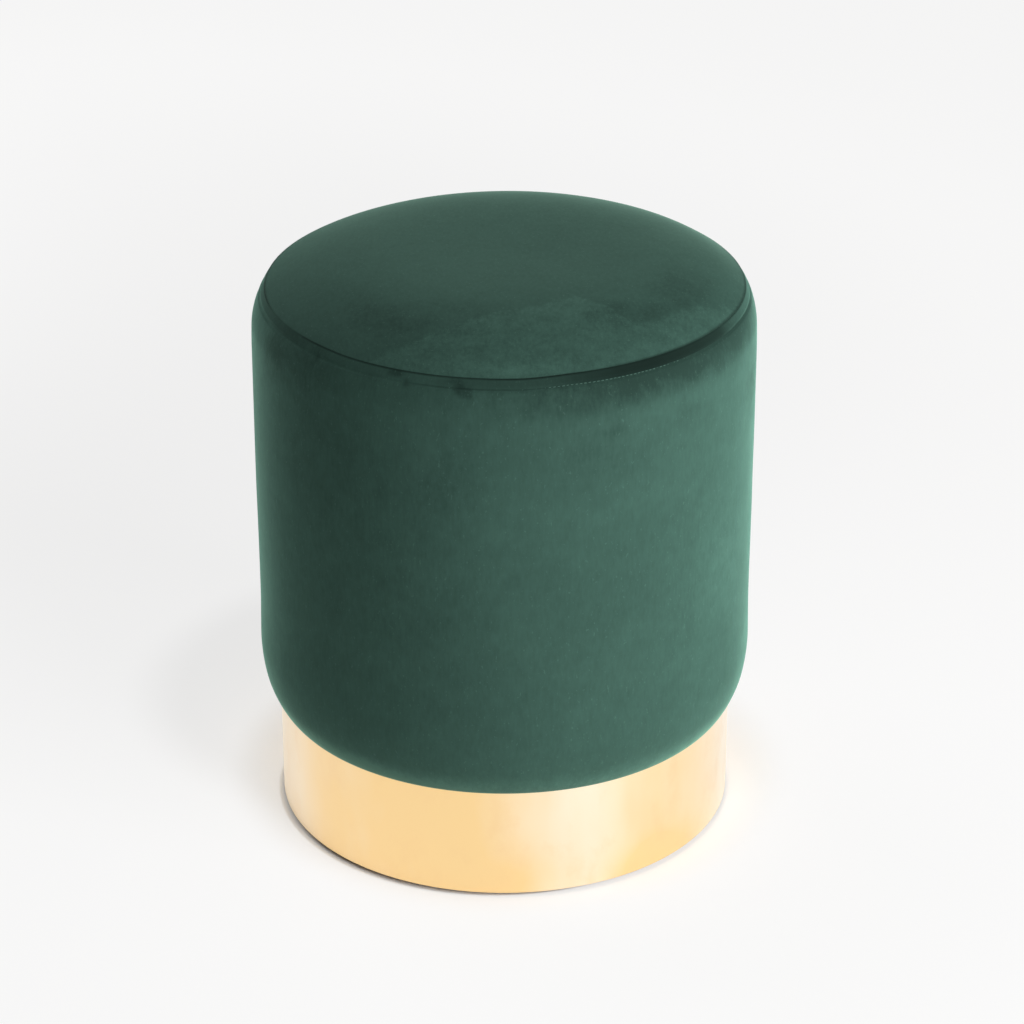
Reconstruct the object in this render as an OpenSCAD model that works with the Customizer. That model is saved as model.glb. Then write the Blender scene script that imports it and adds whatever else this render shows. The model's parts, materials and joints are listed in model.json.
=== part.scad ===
// Round velvet pouf on a gold plinth: a sewn velvet cover over foam and a wooden
// carcass, bolted to a drum that is wrapped in sheet steel. Millimetres, +Z up,
// origin on the floor under the middle. Every upright joint is at the back, at +Y.

/* [Body] */
// Diameter over the velvet, just below the rounded top edge
body_d = 350; // [300:1:420]
// How much further out the velvet stands low down than just below the top edge
low_swell = 0.7; // [0:0.1:3]
// Height of the curve that turns the velvet in under the body
under_h = 51; // [30:1:80]
// Height of the rounded top edge, from the straight side up to the seam
shoulder_h = 27.5; // [20:0.5:36]
// How far the rounded top edge draws the seam in from the side
shoulder_in = 9.1; // [6:0.1:13]
// Rise of the middle of the seat above the seam
crown_h = 23.6; // [14:0.1:34]
// How flat the seat stays before it falls to the seam, where a higher number is flatter
crown_power = 5; // [3:0.1:7]

/* [Velvet cover] */
// Thickness of the velvet with its backing
cover_t = 1.2; // [0.8:0.1:1.8]
// Height of the topstitching below the seam
stitch_drop = 6.7; // [5:0.1:9]
// Depth of the valley that the topstitching pulls
stitch_dip = 0.6; // [0.1:0.1:0.7]
// Half the width of that valley
stitch_w = 2; // [1:0.1:3]
// How far the turned edges reach down behind the side, past the topstitching
hem_past = 2.4; // [1:0.1:4]
// Width over which the seat panel rolls into the seam
tuck_w = 4; // [3:0.5:7]
// Gap between the two edges of the side panel at the back seam
seam_slit = 0.4; // [0.2:0.1:1]
// Width of each seam allowance that is pressed open behind the back seam
allowance_w = 10; // [6:1:15]
// How far the side panel turns in under the base board
turn_in = 32; // [22:1:45]

/* [Stuffing] */
// Thickness of the foam sheet round the carcass
side_foam_t = 18; // [12:0.5:26]
// Height of the seat foam at its edge, from the seat board up to the seam
seat_edge_h = 45; // [40:0.5:80]
// Thickness of the wadding in the middle of the seat
wadding_t = 8; // [4:0.5:12]
// Share of its thickness that the wadding loses towards the seam
wadding_thinning = 0.5; // [0.1:0.05:0.7]

/* [Carcass] */
// Thickness of the bent hardboard shell
shell_t = 3; // [2:0.5:4]
// How far the shell stops short of both faces of the carcass
shell_short = 1; // [0.8:0.1:3]
// Thickness of the base board
base_board_t = 15; // [12:1:21]
// Thickness of the seat board
seat_board_t = 12; // [9:1:18]
// Length of the posts
post_l = 243.5; // [150:0.5:320]
// Width of the square posts
post_w = 28; // [24:1:36]
// Number of posts, of blocks in the plinth and of glides
posts = 4; // [3:1:6]

/* [Plinth] */
// Height of the plinth's wooden drum
plinth_h = 78; // [60:1:120]
// How far the steel stands in from the widest part of the velvet
plinth_setback = 12.5; // [7:0.1:17]
// Thickness of the sheet steel
band_t = 0.8; // [0.4:0.1:1.2]
// Gap where the ends of the steel meet
band_slit = 0.4; // [0.2:0.1:1]
// Thickness of the bendy plywood hoop behind the steel
lining_t = 3; // [2:0.5:5]
// Thickness of the drum's top board and bottom ring
drum_board_t = 12; // [9:1:16]
// Width of the drum's bottom ring
ring_w = 47; // [44:1:60]
// Width of the blocks between them, along the rim
block_w = 60; // [50:1:70]
// Depth of those blocks, towards the middle
block_d = 38; // [32:1:42]
// Thickness of the dust cover's cloth
dust_t = 0.6; // [0.4:0.1:1]
// How far the dust cover stays in from the rim of the drum
dust_inset = 5; // [3:1:8]
// Diameter of the glides
glide_d = 20; // [14:1:24]
// Height of the glides
glide_h = 2.4; // [1.8:0.1:4]

/* [Fasteners] */
// Diameter of the wood screws
screw_d = 4.5; // [4:0.5:5]
// Length of the screws into the posts
post_screw_l = 50; // [35:5:60]
// Length of the screws into the plinth's blocks
block_screw_l = 35; // [25:5:40]
// Distance between the two screws in a post
post_screw_gap = 13; // [12:1:14]
// Distance between the two screws in a block
block_screw_gap = 34; // [26:1:38]
// Diameter of the bolts that hold the plinth
bolt_d = 6; // [5:1:8]
// Radius of the circle that those bolts lie on
bolt_circle_r = 95; // [70:1:102]
// Diameter of the washers
washer_d = 18; // [16:1:20]
// Thickness of the washers
washer_t = 1.6; // [1:0.1:2]
// Width of a staple's crown
staple_w = 10; // [8:1:12]
// Length of a staple's legs
staple_l = 8; // [6:1:9]
// Number of staples in the velvet, between two posts
cover_staples_each = 4; // [3:1:5]
// Number of staples in the dust cover, between two glides
dust_staples_each = 3; // [2:1:4]

/* [Fits] */
// Room between soft pieces and what they lie against
fit_gap = 0.3; // [0.2:0.05:0.5]
// Room between bent sheets and what they are glued to
glue_gap = 0.1; // [0.05:0.05:0.2]
// Room round screws, nails, staples and bolts
drill_gap = 0.05; // [0.02:0.01:0.1]

/* [Hidden] */
$fn = 96;
// Sheet metal of the staples
staple_t = 0.7;
// Width of a staple's wire
staple_wire = 1.2;
// Countersunk screw head, as a share of the shank's diameter
screw_head = 2;
// Diameter of the glides' nails
nail_d = 2.5;
// How far the nails reach into the bottom ring, and the floor of the plastic below them
nail_l = 10;
glide_floor = 1;
// Rounding of the glides' lower edge
glide_round = 1.2;
// Tee nuts: barrel wall and height, flange and prongs
tee_wall = 0.9;
tee_barrel_l = 9;
tee_flange_r = 9.5;
tee_flange_t = 1.4;
tee_prong = [1.2, 2.4, 6];
// Bolt head, as a share of the bolt's diameter
bolt_head_w = 10 / 6;
bolt_head_h = 4 / 6;
// Angle on the lower curve at which the side foam is thick enough to be cut
foam_tip = 12;

velvet_green = "#2f5e4c";
gold = "#e6c48c";
steel = "#b9bcc0";
plywood = "#cfa877";
beech = "#d9b98a";
board_brown = "#b08a5e";
foam_white = "#f1ecd8";
wadding_white = "#fafafa";
black_cloth = "#1c1c1e";
black_plastic = "#26262a";

// Radii, from the velvet inwards
body_r = body_d / 2;
low_r = body_r + low_swell;
seam_r = body_r - shoulder_in;
shell_r = body_r - cover_t - fit_gap - side_foam_t - fit_gap;
board_r = shell_r - shell_t - glue_gap;
turn_r = shell_r - cover_t;
under_w = low_r - turn_r;
flange_r = turn_r - turn_in;
band_r = low_r - plinth_setback;
band_in_r = band_r - band_t;
lining_r = band_in_r - glue_gap;
drum_r = lining_r - lining_t - glue_gap;
ring_in_r = drum_r - ring_w;
dust_r = drum_r - dust_inset;
staple_r = turn_r - 8;
dust_staple_r = dust_r - 3;
post_out = sqrt(pow(board_r, 2) - pow(post_w / 2, 2)) - glue_gap;
post_mid_r = post_out - post_w / 2;
block_out = sqrt(pow(drum_r, 2) - pow(block_w / 2, 2)) - glue_gap;
block_mid_r = block_out - block_d / 2;

// Heights, from the floor up
dust_z = glide_h;
drum_z = dust_z + dust_t;
block_z = drum_z + drum_board_t;
block_l = plinth_h - 2 * drum_board_t;
drum_top_z = block_z + block_l;
cover_z = drum_top_z + drum_board_t;
base_z = cover_z + cover_t;
post_z = base_z + base_board_t;
seat_z = post_z + post_l;
foam_z = seat_z + seat_board_t;
seam_z = foam_z + seat_edge_h;
shoulder_z = seam_z - shoulder_h;
under_top_z = cover_z + under_h;
band_top_z = under_z(band_in_r) - fit_gap;

// How far under the outer skin the layers at the seam lie
tuck_in = 2 * cover_t + glue_gap;
stack_in = tuck_in + cover_t + fit_gap;
stuffing_in = cover_t + fit_gap;

// Places on the rounded top edge, as shares of its height
stitch_a = 1 - stitch_drop / shoulder_h;
valley_a = stitch_w / shoulder_h;
hem_a = 1 - (stitch_drop + hem_past) / shoulder_h;
fold_a = cover_t / norm([shoulder_h, 2 * shoulder_in]);

// Angles that the back joints take up
seam_slit_angle = degrees(seam_slit / body_r);
allowance_angle = degrees(2 * allowance_w / body_r);
band_slit_angle = degrees(band_slit / band_r);
shell_slit_angle = degrees(shell_t / shell_r);

function degrees(radians) = radians * 180 / PI;
function steps(from, to, n) = [for (i = [0:n]) from + (to - from) * i / n];
function unit(v) = v / norm(v);

// The outer skin of the velvet, in three stretches. Each gives a point that is
// moved in by an inset, square to the skin. Points are a radius and a height.

// Lower curve: a turns from 0, flat under the body, to 90, up the side
function under_pt(a, inset) =
    [turn_r + under_w * sin(a), under_top_z - under_h * cos(a)]
    - inset * unit([under_h * sin(a), -under_w * cos(a)]);
function under_z(r) = under_top_z - under_h * cos(asin((r - turn_r) / under_w));

// Straight side: its radius at a height
function side_r(z) = low_r + (body_r - low_r) * (z - under_top_z) / (shoulder_z - under_top_z);

// Rounded top edge: a runs from 0, at the straight side, to 1, at the seam
function shoulder_normal(a) = unit([shoulder_h, 2 * shoulder_in * a]);
function shoulder_pt(a, inset) =
    [body_r - shoulder_in * a * a, shoulder_z + shoulder_h * a] - inset * shoulder_normal(a);

// Crowned seat: r runs from 0, in the middle, to the seam
function crown_slope(r) = crown_h * crown_power / seam_r * pow(r / seam_r, crown_power - 1);
function crown_pt(r, inset) =
    [r, seam_z + crown_h * (1 - pow(r / seam_r, crown_power))] - inset * unit([crown_slope(r), 1]);

// Valley of the topstitching, from 0 beside it to 1 along it
function valley(a) = pow(max(0, 1 - pow((a - stitch_a) / valley_a, 2)), 2);

// How far the seat panel has rolled in, from 0 to 1 at the seam
function tuck(r) = let (x = max(0, 1 - (seam_r - r) / tuck_w)) x * x * (3 - 2 * x);

// Round edge of the side panel's fold at the seam
function fold_pt(t) =
    let (n = shoulder_normal(1 - fold_a))
    shoulder_pt(1 - fold_a, cover_t) + cover_t * (cos(t) * n + sin(t) * [-n[1], n[0]]);

// Thickness of the wadding, which thins towards the seam
function wadding_at(r) = wadding_t * (1 - wadding_thinning * pow(r / seam_r, 6));

// Steps along the rounded top edge, close together in the valley
function shoulder_steps() = concat(
    steps(0, stitch_a - valley_a, 6),
    steps(stitch_a - valley_a / 2, stitch_a + valley_a / 2, 2),
    steps(stitch_a + valley_a, 1 - fold_a, 2)
);
// Steps across the seat, close together towards the seam
function seat_steps(to) = [for (x = steps(0, 1, 14)) to * (1 - pow(1 - x, 1.6))];

// Turns a piece's upright outline round the middle, open at the back by an angle
module hoop(slit) {
    rotate(90 + slit / 2)
        rotate_extrude(angle = 360 - slit)
            children();
}

// The same outline over an angle at the back only
module back_strip(angle) {
    rotate(90 - angle / 2)
        rotate_extrude(angle = angle)
            children();
}

// A flat ring or board
module ring(r_in, r_out, z, t) {
    translate([0, 0, z])
        linear_extrude(t)
            difference() {
                circle(r_out);
                if (r_in > 0) circle(r_in);
            }
}

// Puts a child at the post, block or glide with this number, of which the first is at the back
module at_post(i, r) {
    rotate(90 + 360 / posts * (i - 1))
        translate([r, 0, 0])
            children();
}

module at_posts(r) {
    for (i = [1:posts])
        at_post(i, r)
            children();
}

// Puts a child midway between the posts
module between_posts(r) {
    rotate(180 / posts)
        at_posts(r)
            children();
}

// Puts a child at evenly spaced places between the posts
module spread(count, r) {
    for (i = [1:posts], k = [1:count])
        rotate(90 + 360 / posts * (i - 1 + (k - 0.5) / count))
            translate([r, 0, 0])
                children();
}

// Countersunk wood screw that points up, its head flush at height 0
module screw(length, extra) {
    r = screw_d / 2;
    rotate_extrude()
        polygon([
            [0, 0],
            [r * screw_head + extra, 0],
            [r + extra, r * (screw_head - 1)],
            [r + extra, length - r],
            [r * 0.2 + extra, length + extra],
            [0, length + extra]
        ]);
}

// The two screws of a post or block, one on each side of its middle
module screw_pair(length, gap, extra) {
    for (side = [-1, 1])
        translate([0, side * gap / 2, 0])
            screw(length, extra);
}

// Staple with its crown at height 0 and its legs up, across the radius
module staple(extra) {
    translate([-staple_wire / 2 - extra, -staple_w / 2 - extra, -extra])
        cube([staple_wire + 2 * extra, staple_w + 2 * extra, staple_t + 2 * extra]);
    for (side = [-1, 1])
        translate([-staple_wire / 2 - extra, side * (staple_w - staple_t) / 2 - staple_t / 2 - extra, -extra])
            cube([staple_wire + 2 * extra, staple_t + 2 * extra, staple_l + 2 * extra]);
}

// Where the fasteners of the body sit, for them and for their holes
module seat_screws_at(extra) {
    at_posts(post_mid_r)
        translate([0, 0, foam_z])
            mirror([0, 0, 1])
                screw_pair(post_screw_l, post_screw_gap, extra);
}

module base_screws_at(extra) {
    at_posts(post_mid_r)
        translate([0, 0, base_z])
            screw_pair(post_screw_l, post_screw_gap, extra);
}

module cover_staples_at(extra) {
    spread(cover_staples_each, staple_r)
        translate([0, 0, cover_z])
            staple(extra);
}

// Where the fasteners of the plinth sit
module top_screws_at(extra) {
    at_posts(block_mid_r)
        translate([0, 0, cover_z])
            mirror([0, 0, 1])
                screw_pair(block_screw_l, block_screw_gap, extra);
}

module ring_screws_at(extra) {
    at_posts(block_mid_r)
        translate([0, 0, drum_z])
            screw_pair(block_screw_l, block_screw_gap, extra);
}

module dust_staples_at(extra) {
    spread(dust_staples_each, dust_staple_r)
        translate([0, 0, dust_z - staple_t])
            staple(extra);
}

module nail(extra) {
    translate([0, 0, glide_floor - extra])
        cylinder(r = nail_d / 2 + extra, h = drum_z + nail_l - glide_floor + 2 * extra);
}

module nails_at(extra) {
    at_posts(block_mid_r)
        nail(extra);
}

module bolt_holes(r, z, t) {
    between_posts(bolt_circle_r)
        translate([0, 0, z - 1])
            cylinder(r = r, h = t + 2);
}

// Tee nut in the base board: a barrel under a flange with four prongs
module tee_nut_body(extra) {
    translate([0, 0, post_z - tee_barrel_l - extra])
        cylinder(r = bolt_d / 2 + drill_gap + tee_wall + extra, h = tee_barrel_l + 2 * extra);
    for (turn = [45:90:315])
        rotate(turn)
            translate([tee_flange_r - tee_prong[0] - extra, -tee_prong[1] / 2 - extra, post_z - tee_prong[2] - extra])
                cube(tee_prong + 2 * extra * [1, 1, 1]);
}

module tee_nut() {
    difference() {
        union() {
            tee_nut_body(0);
            translate([0, 0, post_z])
                cylinder(r = tee_flange_r, h = tee_flange_t);
        }
        translate([0, 0, post_z - tee_barrel_l - 1])
            cylinder(r = bolt_d / 2 + drill_gap, h = tee_barrel_l + tee_flange_t + 2);
    }
}

// Crowned seat panel: it rolls into the seam and turns down behind the side panel
module top_cover() {
    color(velvet_green)
        rotate_extrude()
            polygon(concat(
                [for (r = seat_steps(seam_r - tuck_w)) crown_pt(r, 0)],
                [for (r = steps(seam_r - tuck_w * 0.75, seam_r - cover_t, 3)) crown_pt(r, tuck_in * tuck(r))],
                [for (a = steps(1 - fold_a, hem_a, 4)) shoulder_pt(a, tuck_in)],
                [for (a = steps(hem_a, 1 - 1.5 * fold_a, 4)) shoulder_pt(a, tuck_in + cover_t)],
                [for (r = steps(seam_r - cover_t, seam_r - tuck_w * 0.75, 3)) crown_pt(r, tuck_in * tuck(r) + cover_t)],
                [for (i = [len(seat_steps(1)) - 1:-1:0]) crown_pt(seat_steps(seam_r - tuck_w)[i], cover_t)]
            ));
}

// Side panel: turned in under the base board, up the side, folded back at the seam,
// with its back seam's allowances pressed open behind it
module side_cover() {
    color(velvet_green)
        difference() {
            union() {
                hoop(seam_slit_angle)
                    polygon(concat(
                        [[flange_r, cover_z]],
                        [for (a = steps(0, 90, 12)) under_pt(a, 0)],
                        [for (a = shoulder_steps()) shoulder_pt(a, stitch_dip * valley(a))],
                        [for (t = steps(30, 150, 4)) fold_pt(t)],
                        [for (a = steps(1 - fold_a, hem_a, 4)) shoulder_pt(a, 2 * cover_t)],
                        [for (a = steps(hem_a, 0, 6)) shoulder_pt(a, cover_t)],
                        [for (a = steps(90, 0, 12)) under_pt(a, cover_t)],
                        [[flange_r, base_z]]
                    ));
                back_strip(allowance_angle)
                    polygon(allowance_outline(cover_t * 0.6, 2 * cover_t));
            }
            cover_staples_at(drill_gap);
        }
}

// The stretch of the skin that the back seam's allowances lie behind, between two insets
function allowance_outline(outer, inner) = concat(
    [for (a = steps(foam_tip * 1.5, 90, 10)) under_pt(a, outer)],
    [for (a = steps(0, hem_a * 0.94, 4)) shoulder_pt(a, outer)],
    [for (a = steps(hem_a * 0.94, 0, 4)) shoulder_pt(a, inner)],
    [for (a = steps(90, foam_tip * 1.5, 10)) under_pt(a, inner)]
);

// Room for those allowances, cut out of the foam
module allowance_room() {
    back_strip(allowance_angle + degrees(2 * fit_gap / body_r))
        polygon(concat(
            [for (a = steps(foam_tip / 2, 90, 10)) under_pt(a, -cover_t)],
            [for (a = steps(0, hem_a, 4)) shoulder_pt(a, -cover_t)],
            [for (a = steps(hem_a, 0, 4)) shoulder_pt(a, 2 * cover_t + fit_gap)],
            [for (a = steps(90, foam_tip / 2, 10)) under_pt(a, 2 * cover_t + fit_gap)]
        ));
}

module cover_staples() {
    color(steel)
        cover_staples_at(0);
}

// Wadding under the seat panel, thick in the middle and thin at the rim
module seat_wadding() {
    rim = seam_r - tuck_w - 1;
    color(wadding_white)
        rotate_extrude()
            polygon(concat(
                [for (r = seat_steps(rim)) crown_pt(r, stuffing_in)],
                [for (i = [len(seat_steps(1)) - 1:-1:0])
                    let (r = seat_steps(rim)[i]) crown_pt(r, stuffing_in + wadding_at(r))]
            ));
}

// Seat foam: crowned, with the rounded edge and a rebate for the turned edges of the panels
module seat_foam() {
    color(foam_white)
        difference() {
            rotate_extrude()
                polygon(concat(
                    [for (r = seat_steps(seam_r - 1.5)) crown_pt(r, stuffing_in + wadding_at(r) + fit_gap)],
                    [for (a = steps(0.84, hem_a - 0.03, 3)) shoulder_pt(a, stack_in)],
                    [for (a = steps(hem_a - 0.03, 0, 6)) shoulder_pt(a, stuffing_in)],
                    [[side_r(foam_z) - stuffing_in, foam_z], [0, foam_z]]
                ));
            allowance_room();
        }
}

// Foam sheet round the carcass, cut away below to follow the velvet's lower curve
module side_foam() {
    top_z = foam_z - fit_gap;
    in_r = shell_r + fit_gap;
    color(foam_white)
        difference() {
            rotate_extrude()
                polygon(concat(
                    [[in_r, under_pt(foam_tip, stuffing_in)[1]]],
                    [for (a = steps(foam_tip, 90, 12)) under_pt(a, stuffing_in)],
                    [[side_r(top_z) - stuffing_in, top_z], [in_r, top_z]]
                ));
            allowance_room();
        }
}

// Bent shell: its ends meet on the back post
module carcass_shell() {
    color(board_brown)
        hoop(shell_slit_angle)
            translate([shell_r - shell_t, base_z + shell_short])
                square([shell_t, foam_z - base_z - 2 * shell_short]);
}

module seat_board() {
    color(plywood)
        difference() {
            ring(0, board_r, seat_z, seat_board_t);
            seat_screws_at(drill_gap);
        }
}

module base_board() {
    color(plywood)
        difference() {
            ring(0, board_r, base_z, base_board_t);
            base_screws_at(drill_gap);
            cover_staples_at(drill_gap);
            bolt_holes(bolt_d / 2 + 2 * drill_gap, base_z, base_board_t);
            between_posts(bolt_circle_r)
                tee_nut_body(drill_gap);
        }
}

module post(i) {
    color(beech)
        difference() {
            at_post(i, post_mid_r)
                translate([-post_w / 2, -post_w / 2, post_z])
                    cube([post_w, post_w, post_l]);
            seat_screws_at(drill_gap);
            base_screws_at(drill_gap);
        }
}

module seat_board_screws() {
    color(steel)
        seat_screws_at(0);
}

module base_board_screws() {
    color(steel)
        base_screws_at(0);
}

module tee_nuts() {
    color(steel)
        between_posts(bolt_circle_r)
            tee_nut();
}

// Hexagon bolts up through the drum's top board into the tee nuts
module plinth_bolts() {
    head_h = bolt_d * bolt_head_h;
    under_head_z = drum_top_z - washer_t;
    color(steel)
        between_posts(bolt_circle_r) {
            translate([0, 0, under_head_z])
                cylinder(r = bolt_d / 2, h = post_z - under_head_z);
            translate([0, 0, under_head_z - head_h])
                cylinder(r = bolt_d * bolt_head_w / sqrt(3), h = head_h, $fn = 6);
        }
}

module bolt_washers() {
    color(steel)
        between_posts(bolt_circle_r)
            ring(bolt_d / 2 + 2 * drill_gap, washer_d / 2, drum_top_z - washer_t, washer_t);
}

// Sheet steel, bent round the drum and butted at the back, up to the velvet's lower curve
module plinth_band() {
    color(gold)
        hoop(band_slit_angle)
            translate([band_in_r, drum_z])
                square([band_t, band_top_z - drum_z]);
}

module plinth_lining() {
    color(plywood)
        hoop(degrees(lining_t / lining_r))
            translate([lining_r - lining_t, drum_z])
                square([lining_t, plinth_h]);
}

module plinth_top() {
    color(board_brown)
        difference() {
            ring(0, drum_r, drum_top_z, drum_board_t);
            top_screws_at(drill_gap);
            bolt_holes(bolt_d / 2 + 2 * drill_gap, drum_top_z, drum_board_t);
        }
}

module plinth_ring() {
    color(board_brown)
        difference() {
            ring(ring_in_r, drum_r, drum_z, drum_board_t);
            ring_screws_at(drill_gap);
            nails_at(drill_gap);
            dust_staples_at(drill_gap);
        }
}

module plinth_block(i) {
    color(beech)
        difference() {
            at_post(i, block_mid_r)
                translate([-block_d / 2, -block_w / 2, block_z])
                    cube([block_d, block_w, block_l]);
            top_screws_at(drill_gap);
            ring_screws_at(drill_gap);
        }
}

module top_block_screws() {
    color(steel)
        top_screws_at(0);
}

module ring_block_screws() {
    color(steel)
        ring_screws_at(0);
}

module dust_cover() {
    color(black_cloth)
        difference() {
            ring(0, dust_r, dust_z, dust_t);
            nails_at(drill_gap);
            dust_staples_at(drill_gap);
        }
}

module dust_cover_staples() {
    color(steel)
        dust_staples_at(0);
}

// Plastic glide with a rounded lower edge and a socket for its nail
module glide(i) {
    color(black_plastic)
        difference() {
            at_post(i, block_mid_r)
                rotate_extrude()
                    polygon(concat(
                        [[0, 0]],
                        [for (a = steps(0, 90, 5))
                            [glide_d / 2 - glide_round * (1 - sin(a)), glide_round * (1 - cos(a))]],
                        [[glide_d / 2, glide_h], [0, glide_h]]
                    ));
            nails_at(drill_gap);
        }
}

module glide_nails() {
    color(steel)
        nails_at(0);
}

top_cover();
side_cover();
cover_staples();
seat_wadding();
seat_foam();
side_foam();
carcass_shell();
seat_board();
base_board();
for (i = [1:posts]) post(i);
seat_board_screws();
base_board_screws();
tee_nuts();
plinth_bolts();
bolt_washers();
plinth_band();
plinth_lining();
plinth_top();
plinth_ring();
for (i = [1:posts]) plinth_block(i);
top_block_screws();
ring_block_screws();
dust_cover();
dust_cover_staples();
for (i = [1:posts]) glide(i);
glide_nails();
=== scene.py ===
"""Dresses a round pouf on a gold plinth: velvet, stitching, stuffing, sheet steel and woods."""

import json
import math
import random

import bmesh
import bpy
from bpy.props import FloatProperty, FloatVectorProperty, IntProperty, PointerProperty
from mathutils import Matrix, Vector, noise
from mathutils.bvhtree import BVHTree


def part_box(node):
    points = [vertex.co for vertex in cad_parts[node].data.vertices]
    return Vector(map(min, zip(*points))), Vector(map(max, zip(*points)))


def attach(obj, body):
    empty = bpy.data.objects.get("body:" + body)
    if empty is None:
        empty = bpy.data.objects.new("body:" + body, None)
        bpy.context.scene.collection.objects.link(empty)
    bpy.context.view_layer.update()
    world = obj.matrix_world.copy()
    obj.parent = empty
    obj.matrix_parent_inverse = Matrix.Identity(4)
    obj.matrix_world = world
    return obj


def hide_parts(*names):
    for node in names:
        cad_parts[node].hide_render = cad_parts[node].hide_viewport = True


bl_info = {
    "name": "Round Velvet Pouf",
    "version": (1, 0, 0),
    "blender": (4, 5, 0),
    "location": "3D View > Sidebar > Pouf",
    "description": "Builds the velvet, stitching, stuffing, plinth and stage of a round pouf",
    "category": "Add Mesh",
}

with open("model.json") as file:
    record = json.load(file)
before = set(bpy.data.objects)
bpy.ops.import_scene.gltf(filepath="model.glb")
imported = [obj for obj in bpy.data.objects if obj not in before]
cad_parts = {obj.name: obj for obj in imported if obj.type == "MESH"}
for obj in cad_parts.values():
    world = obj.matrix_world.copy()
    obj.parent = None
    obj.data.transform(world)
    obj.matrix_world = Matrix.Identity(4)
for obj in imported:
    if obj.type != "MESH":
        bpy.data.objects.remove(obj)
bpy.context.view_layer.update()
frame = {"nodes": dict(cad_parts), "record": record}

MM = 0.001
BACK = math.pi / 2
SECTORS = 8
NEAR = 1e-6

SIDE_LOW, SIDE_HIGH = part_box("side_cover")
SEAT_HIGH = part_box("top_cover")[1]
SHELL_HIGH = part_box("carcass_shell")[1]
FOAM_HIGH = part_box("side_foam")[1]
SEAT_BOARD_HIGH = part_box("seat_board")[1]
BAND_LOW, BAND_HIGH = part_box("plinth_band")
DUST_LOW, DUST_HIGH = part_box("dust_cover")
RING_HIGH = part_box("plinth_ring")[1]

# Sizes of the construction that no box gives
SHEET_T = 0.8 * MM
RING_W = 47 * MM
WADDING_T = 8 * MM
LAYER_GAP = 0.3 * MM
DUST_STAPLES = 12

# Where something comes in or goes out, from and to in mm. Heights above the velvet's foot:
FILLED_LOW_IN = (8, 25)
FILLED_LOW_OUT = (45, 85)
FILLED_HIGH_IN = (95, 175)
# The next two fade out the painted light and the painted shade where the velvet rolls in below:
FOOT_LIGHT_OUT = (2, 24)
ROLL_SHADE_OUT = (4, 8)

# Heights above the start of the rounded edge, above the topstitching and above the seam:
FILLED_HIGH_OUT = (-15, 12)
DEEPER_IN = (-26, -5)
# Where the painted shade of the seam's crease begins on the fold:
FOLD_SHADE_IN = (-1.1, -0.6)

# Radii out from the seam, and distances from what holds the velvet:
SEAM_RAISED_IN = (-40, -6)
SEAT_EVEN_IN = (-30, -8)
HELD_OUT = (2, 14)

# The draw of the back seam, its half width, and the height above the velvet's foot where it begins
SEAM_DRAW = 0.9 * MM
SEAM_DRAW_W = 3 * MM
SEAM_DRAW_FROM = 6 * MM

# The distance from the stitches past which no pucker shows, and a pucker's reach above them
PUCKER_FAR = 36 * MM
PUCKER_UP = 3.5 * MM

# Brush strokes in the pile, and on the side also painted shade: azimuth in degrees, height or
# radius in mm, half the turn and half the width, and strength
SIDE_STROKES_AND_SHADE = [
    (-138, 372, 6, 30, -0.35),
    (-64, 340, 16, 16, -0.12),
    (-176, 360, 14, 55, -0.25),
    (-178, 320, 9, 60, -0.6),
    (-154, 368, 7, 16, -0.4),
    (-151, 381, 9, 9, -0.5),
    (-100, 330, 6, 22, -0.25),
    (-128, 340, 8, 25, -0.15),
    (-118, 270, 22, 90, -0.2),
    (-13, 343, 6, 24, -0.8),
    (-14, 140, 5, 14, 0.4),
    # Painted shade along the topstitching's valley, at the right
    (-21, 390, 13, 1.8, -1.2),
    (-47, 357, 5, 8, -0.35),
    (-66, 358, 3, 8, -0.35),
    (-103, 317, 4, 14, -0.2),
    (-34, 235, 13, 50, 0.35),
    # Painted shade in the front puckers, at the topstitching
    (-99.8, 391.5, 1.0, 2.2, -1.3),
    (-98.7, 389, 1.4, 2.4, -1.5),
    (-97.8, 386.8, 1.2, 1.6, -0.8),
    (-101, 394.5, 1.6, 2.0, -0.8),
    (-115, 395.3, 1.8, 2.0, -1.3),
]
SEAT_STROKES = [
    (-27, 138, 12, 9, -0.35),
    (-24, 122, 13, 11, -0.4),
    (-63, 115, 4, 6, -0.3),
    (-51, 116, 5, 8, -0.4),
    (-88, 161, 16, 6, 0.6),
    (-46, 132, 8, 7, -0.45),
    (-57, 126, 5, 7, -0.35),
    (-128, 132, 22, 16, -0.45),
    (-106, 104, 14, 9, -0.25),
]

# Where the seat is ruffled by hand: azimuth in degrees and the radius in mm from which it is
RUFFLED_FROM = [
    (-180, 176), (-128, 176), (-116, 149), (-109, 129), (-100, 114), (-88, 104), (-75, 95),
    (-62, 92), (-54, 112), (-54, 137.8), (-46, 141), (-35, 144), (-22, 159), (-10, 176),
    (180, 176),
]

# Painted shade on the strip between the seam and the topstitching, below the seat's overhanging
# edge: azimuth in degrees and share
STRIP_SHADE = [
    (-180, 0.4), (-147, 0.45), (-139, 0.1), (-112, 0.12), (-105, 0.3), (-98, 0.45), (-80, 0.6),
    (-74, 0.8), (-64, 0.97), (-55, 1.0), (-40, 0.95), (-31, 0.88), (-27, 0.6), (-22, 0.4),
    (-14, 0.22), (0, 0.15), (180, 0.15),
]

# How much deeper the colour is made just below the topstitching: azimuth in degrees and share
DEEPER_UNDER = [
    (-180, 0.1), (-112, 0.1), (-90, 0.3), (-82, 0.6), (-70, 0.85), (-60, 1.1), (-50, 1.1),
    (-42, 1.0), (-24, 1.0), (-17, 0.8), (-8, 0.45), (4, 0.15), (180, 0.1),
]

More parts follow.
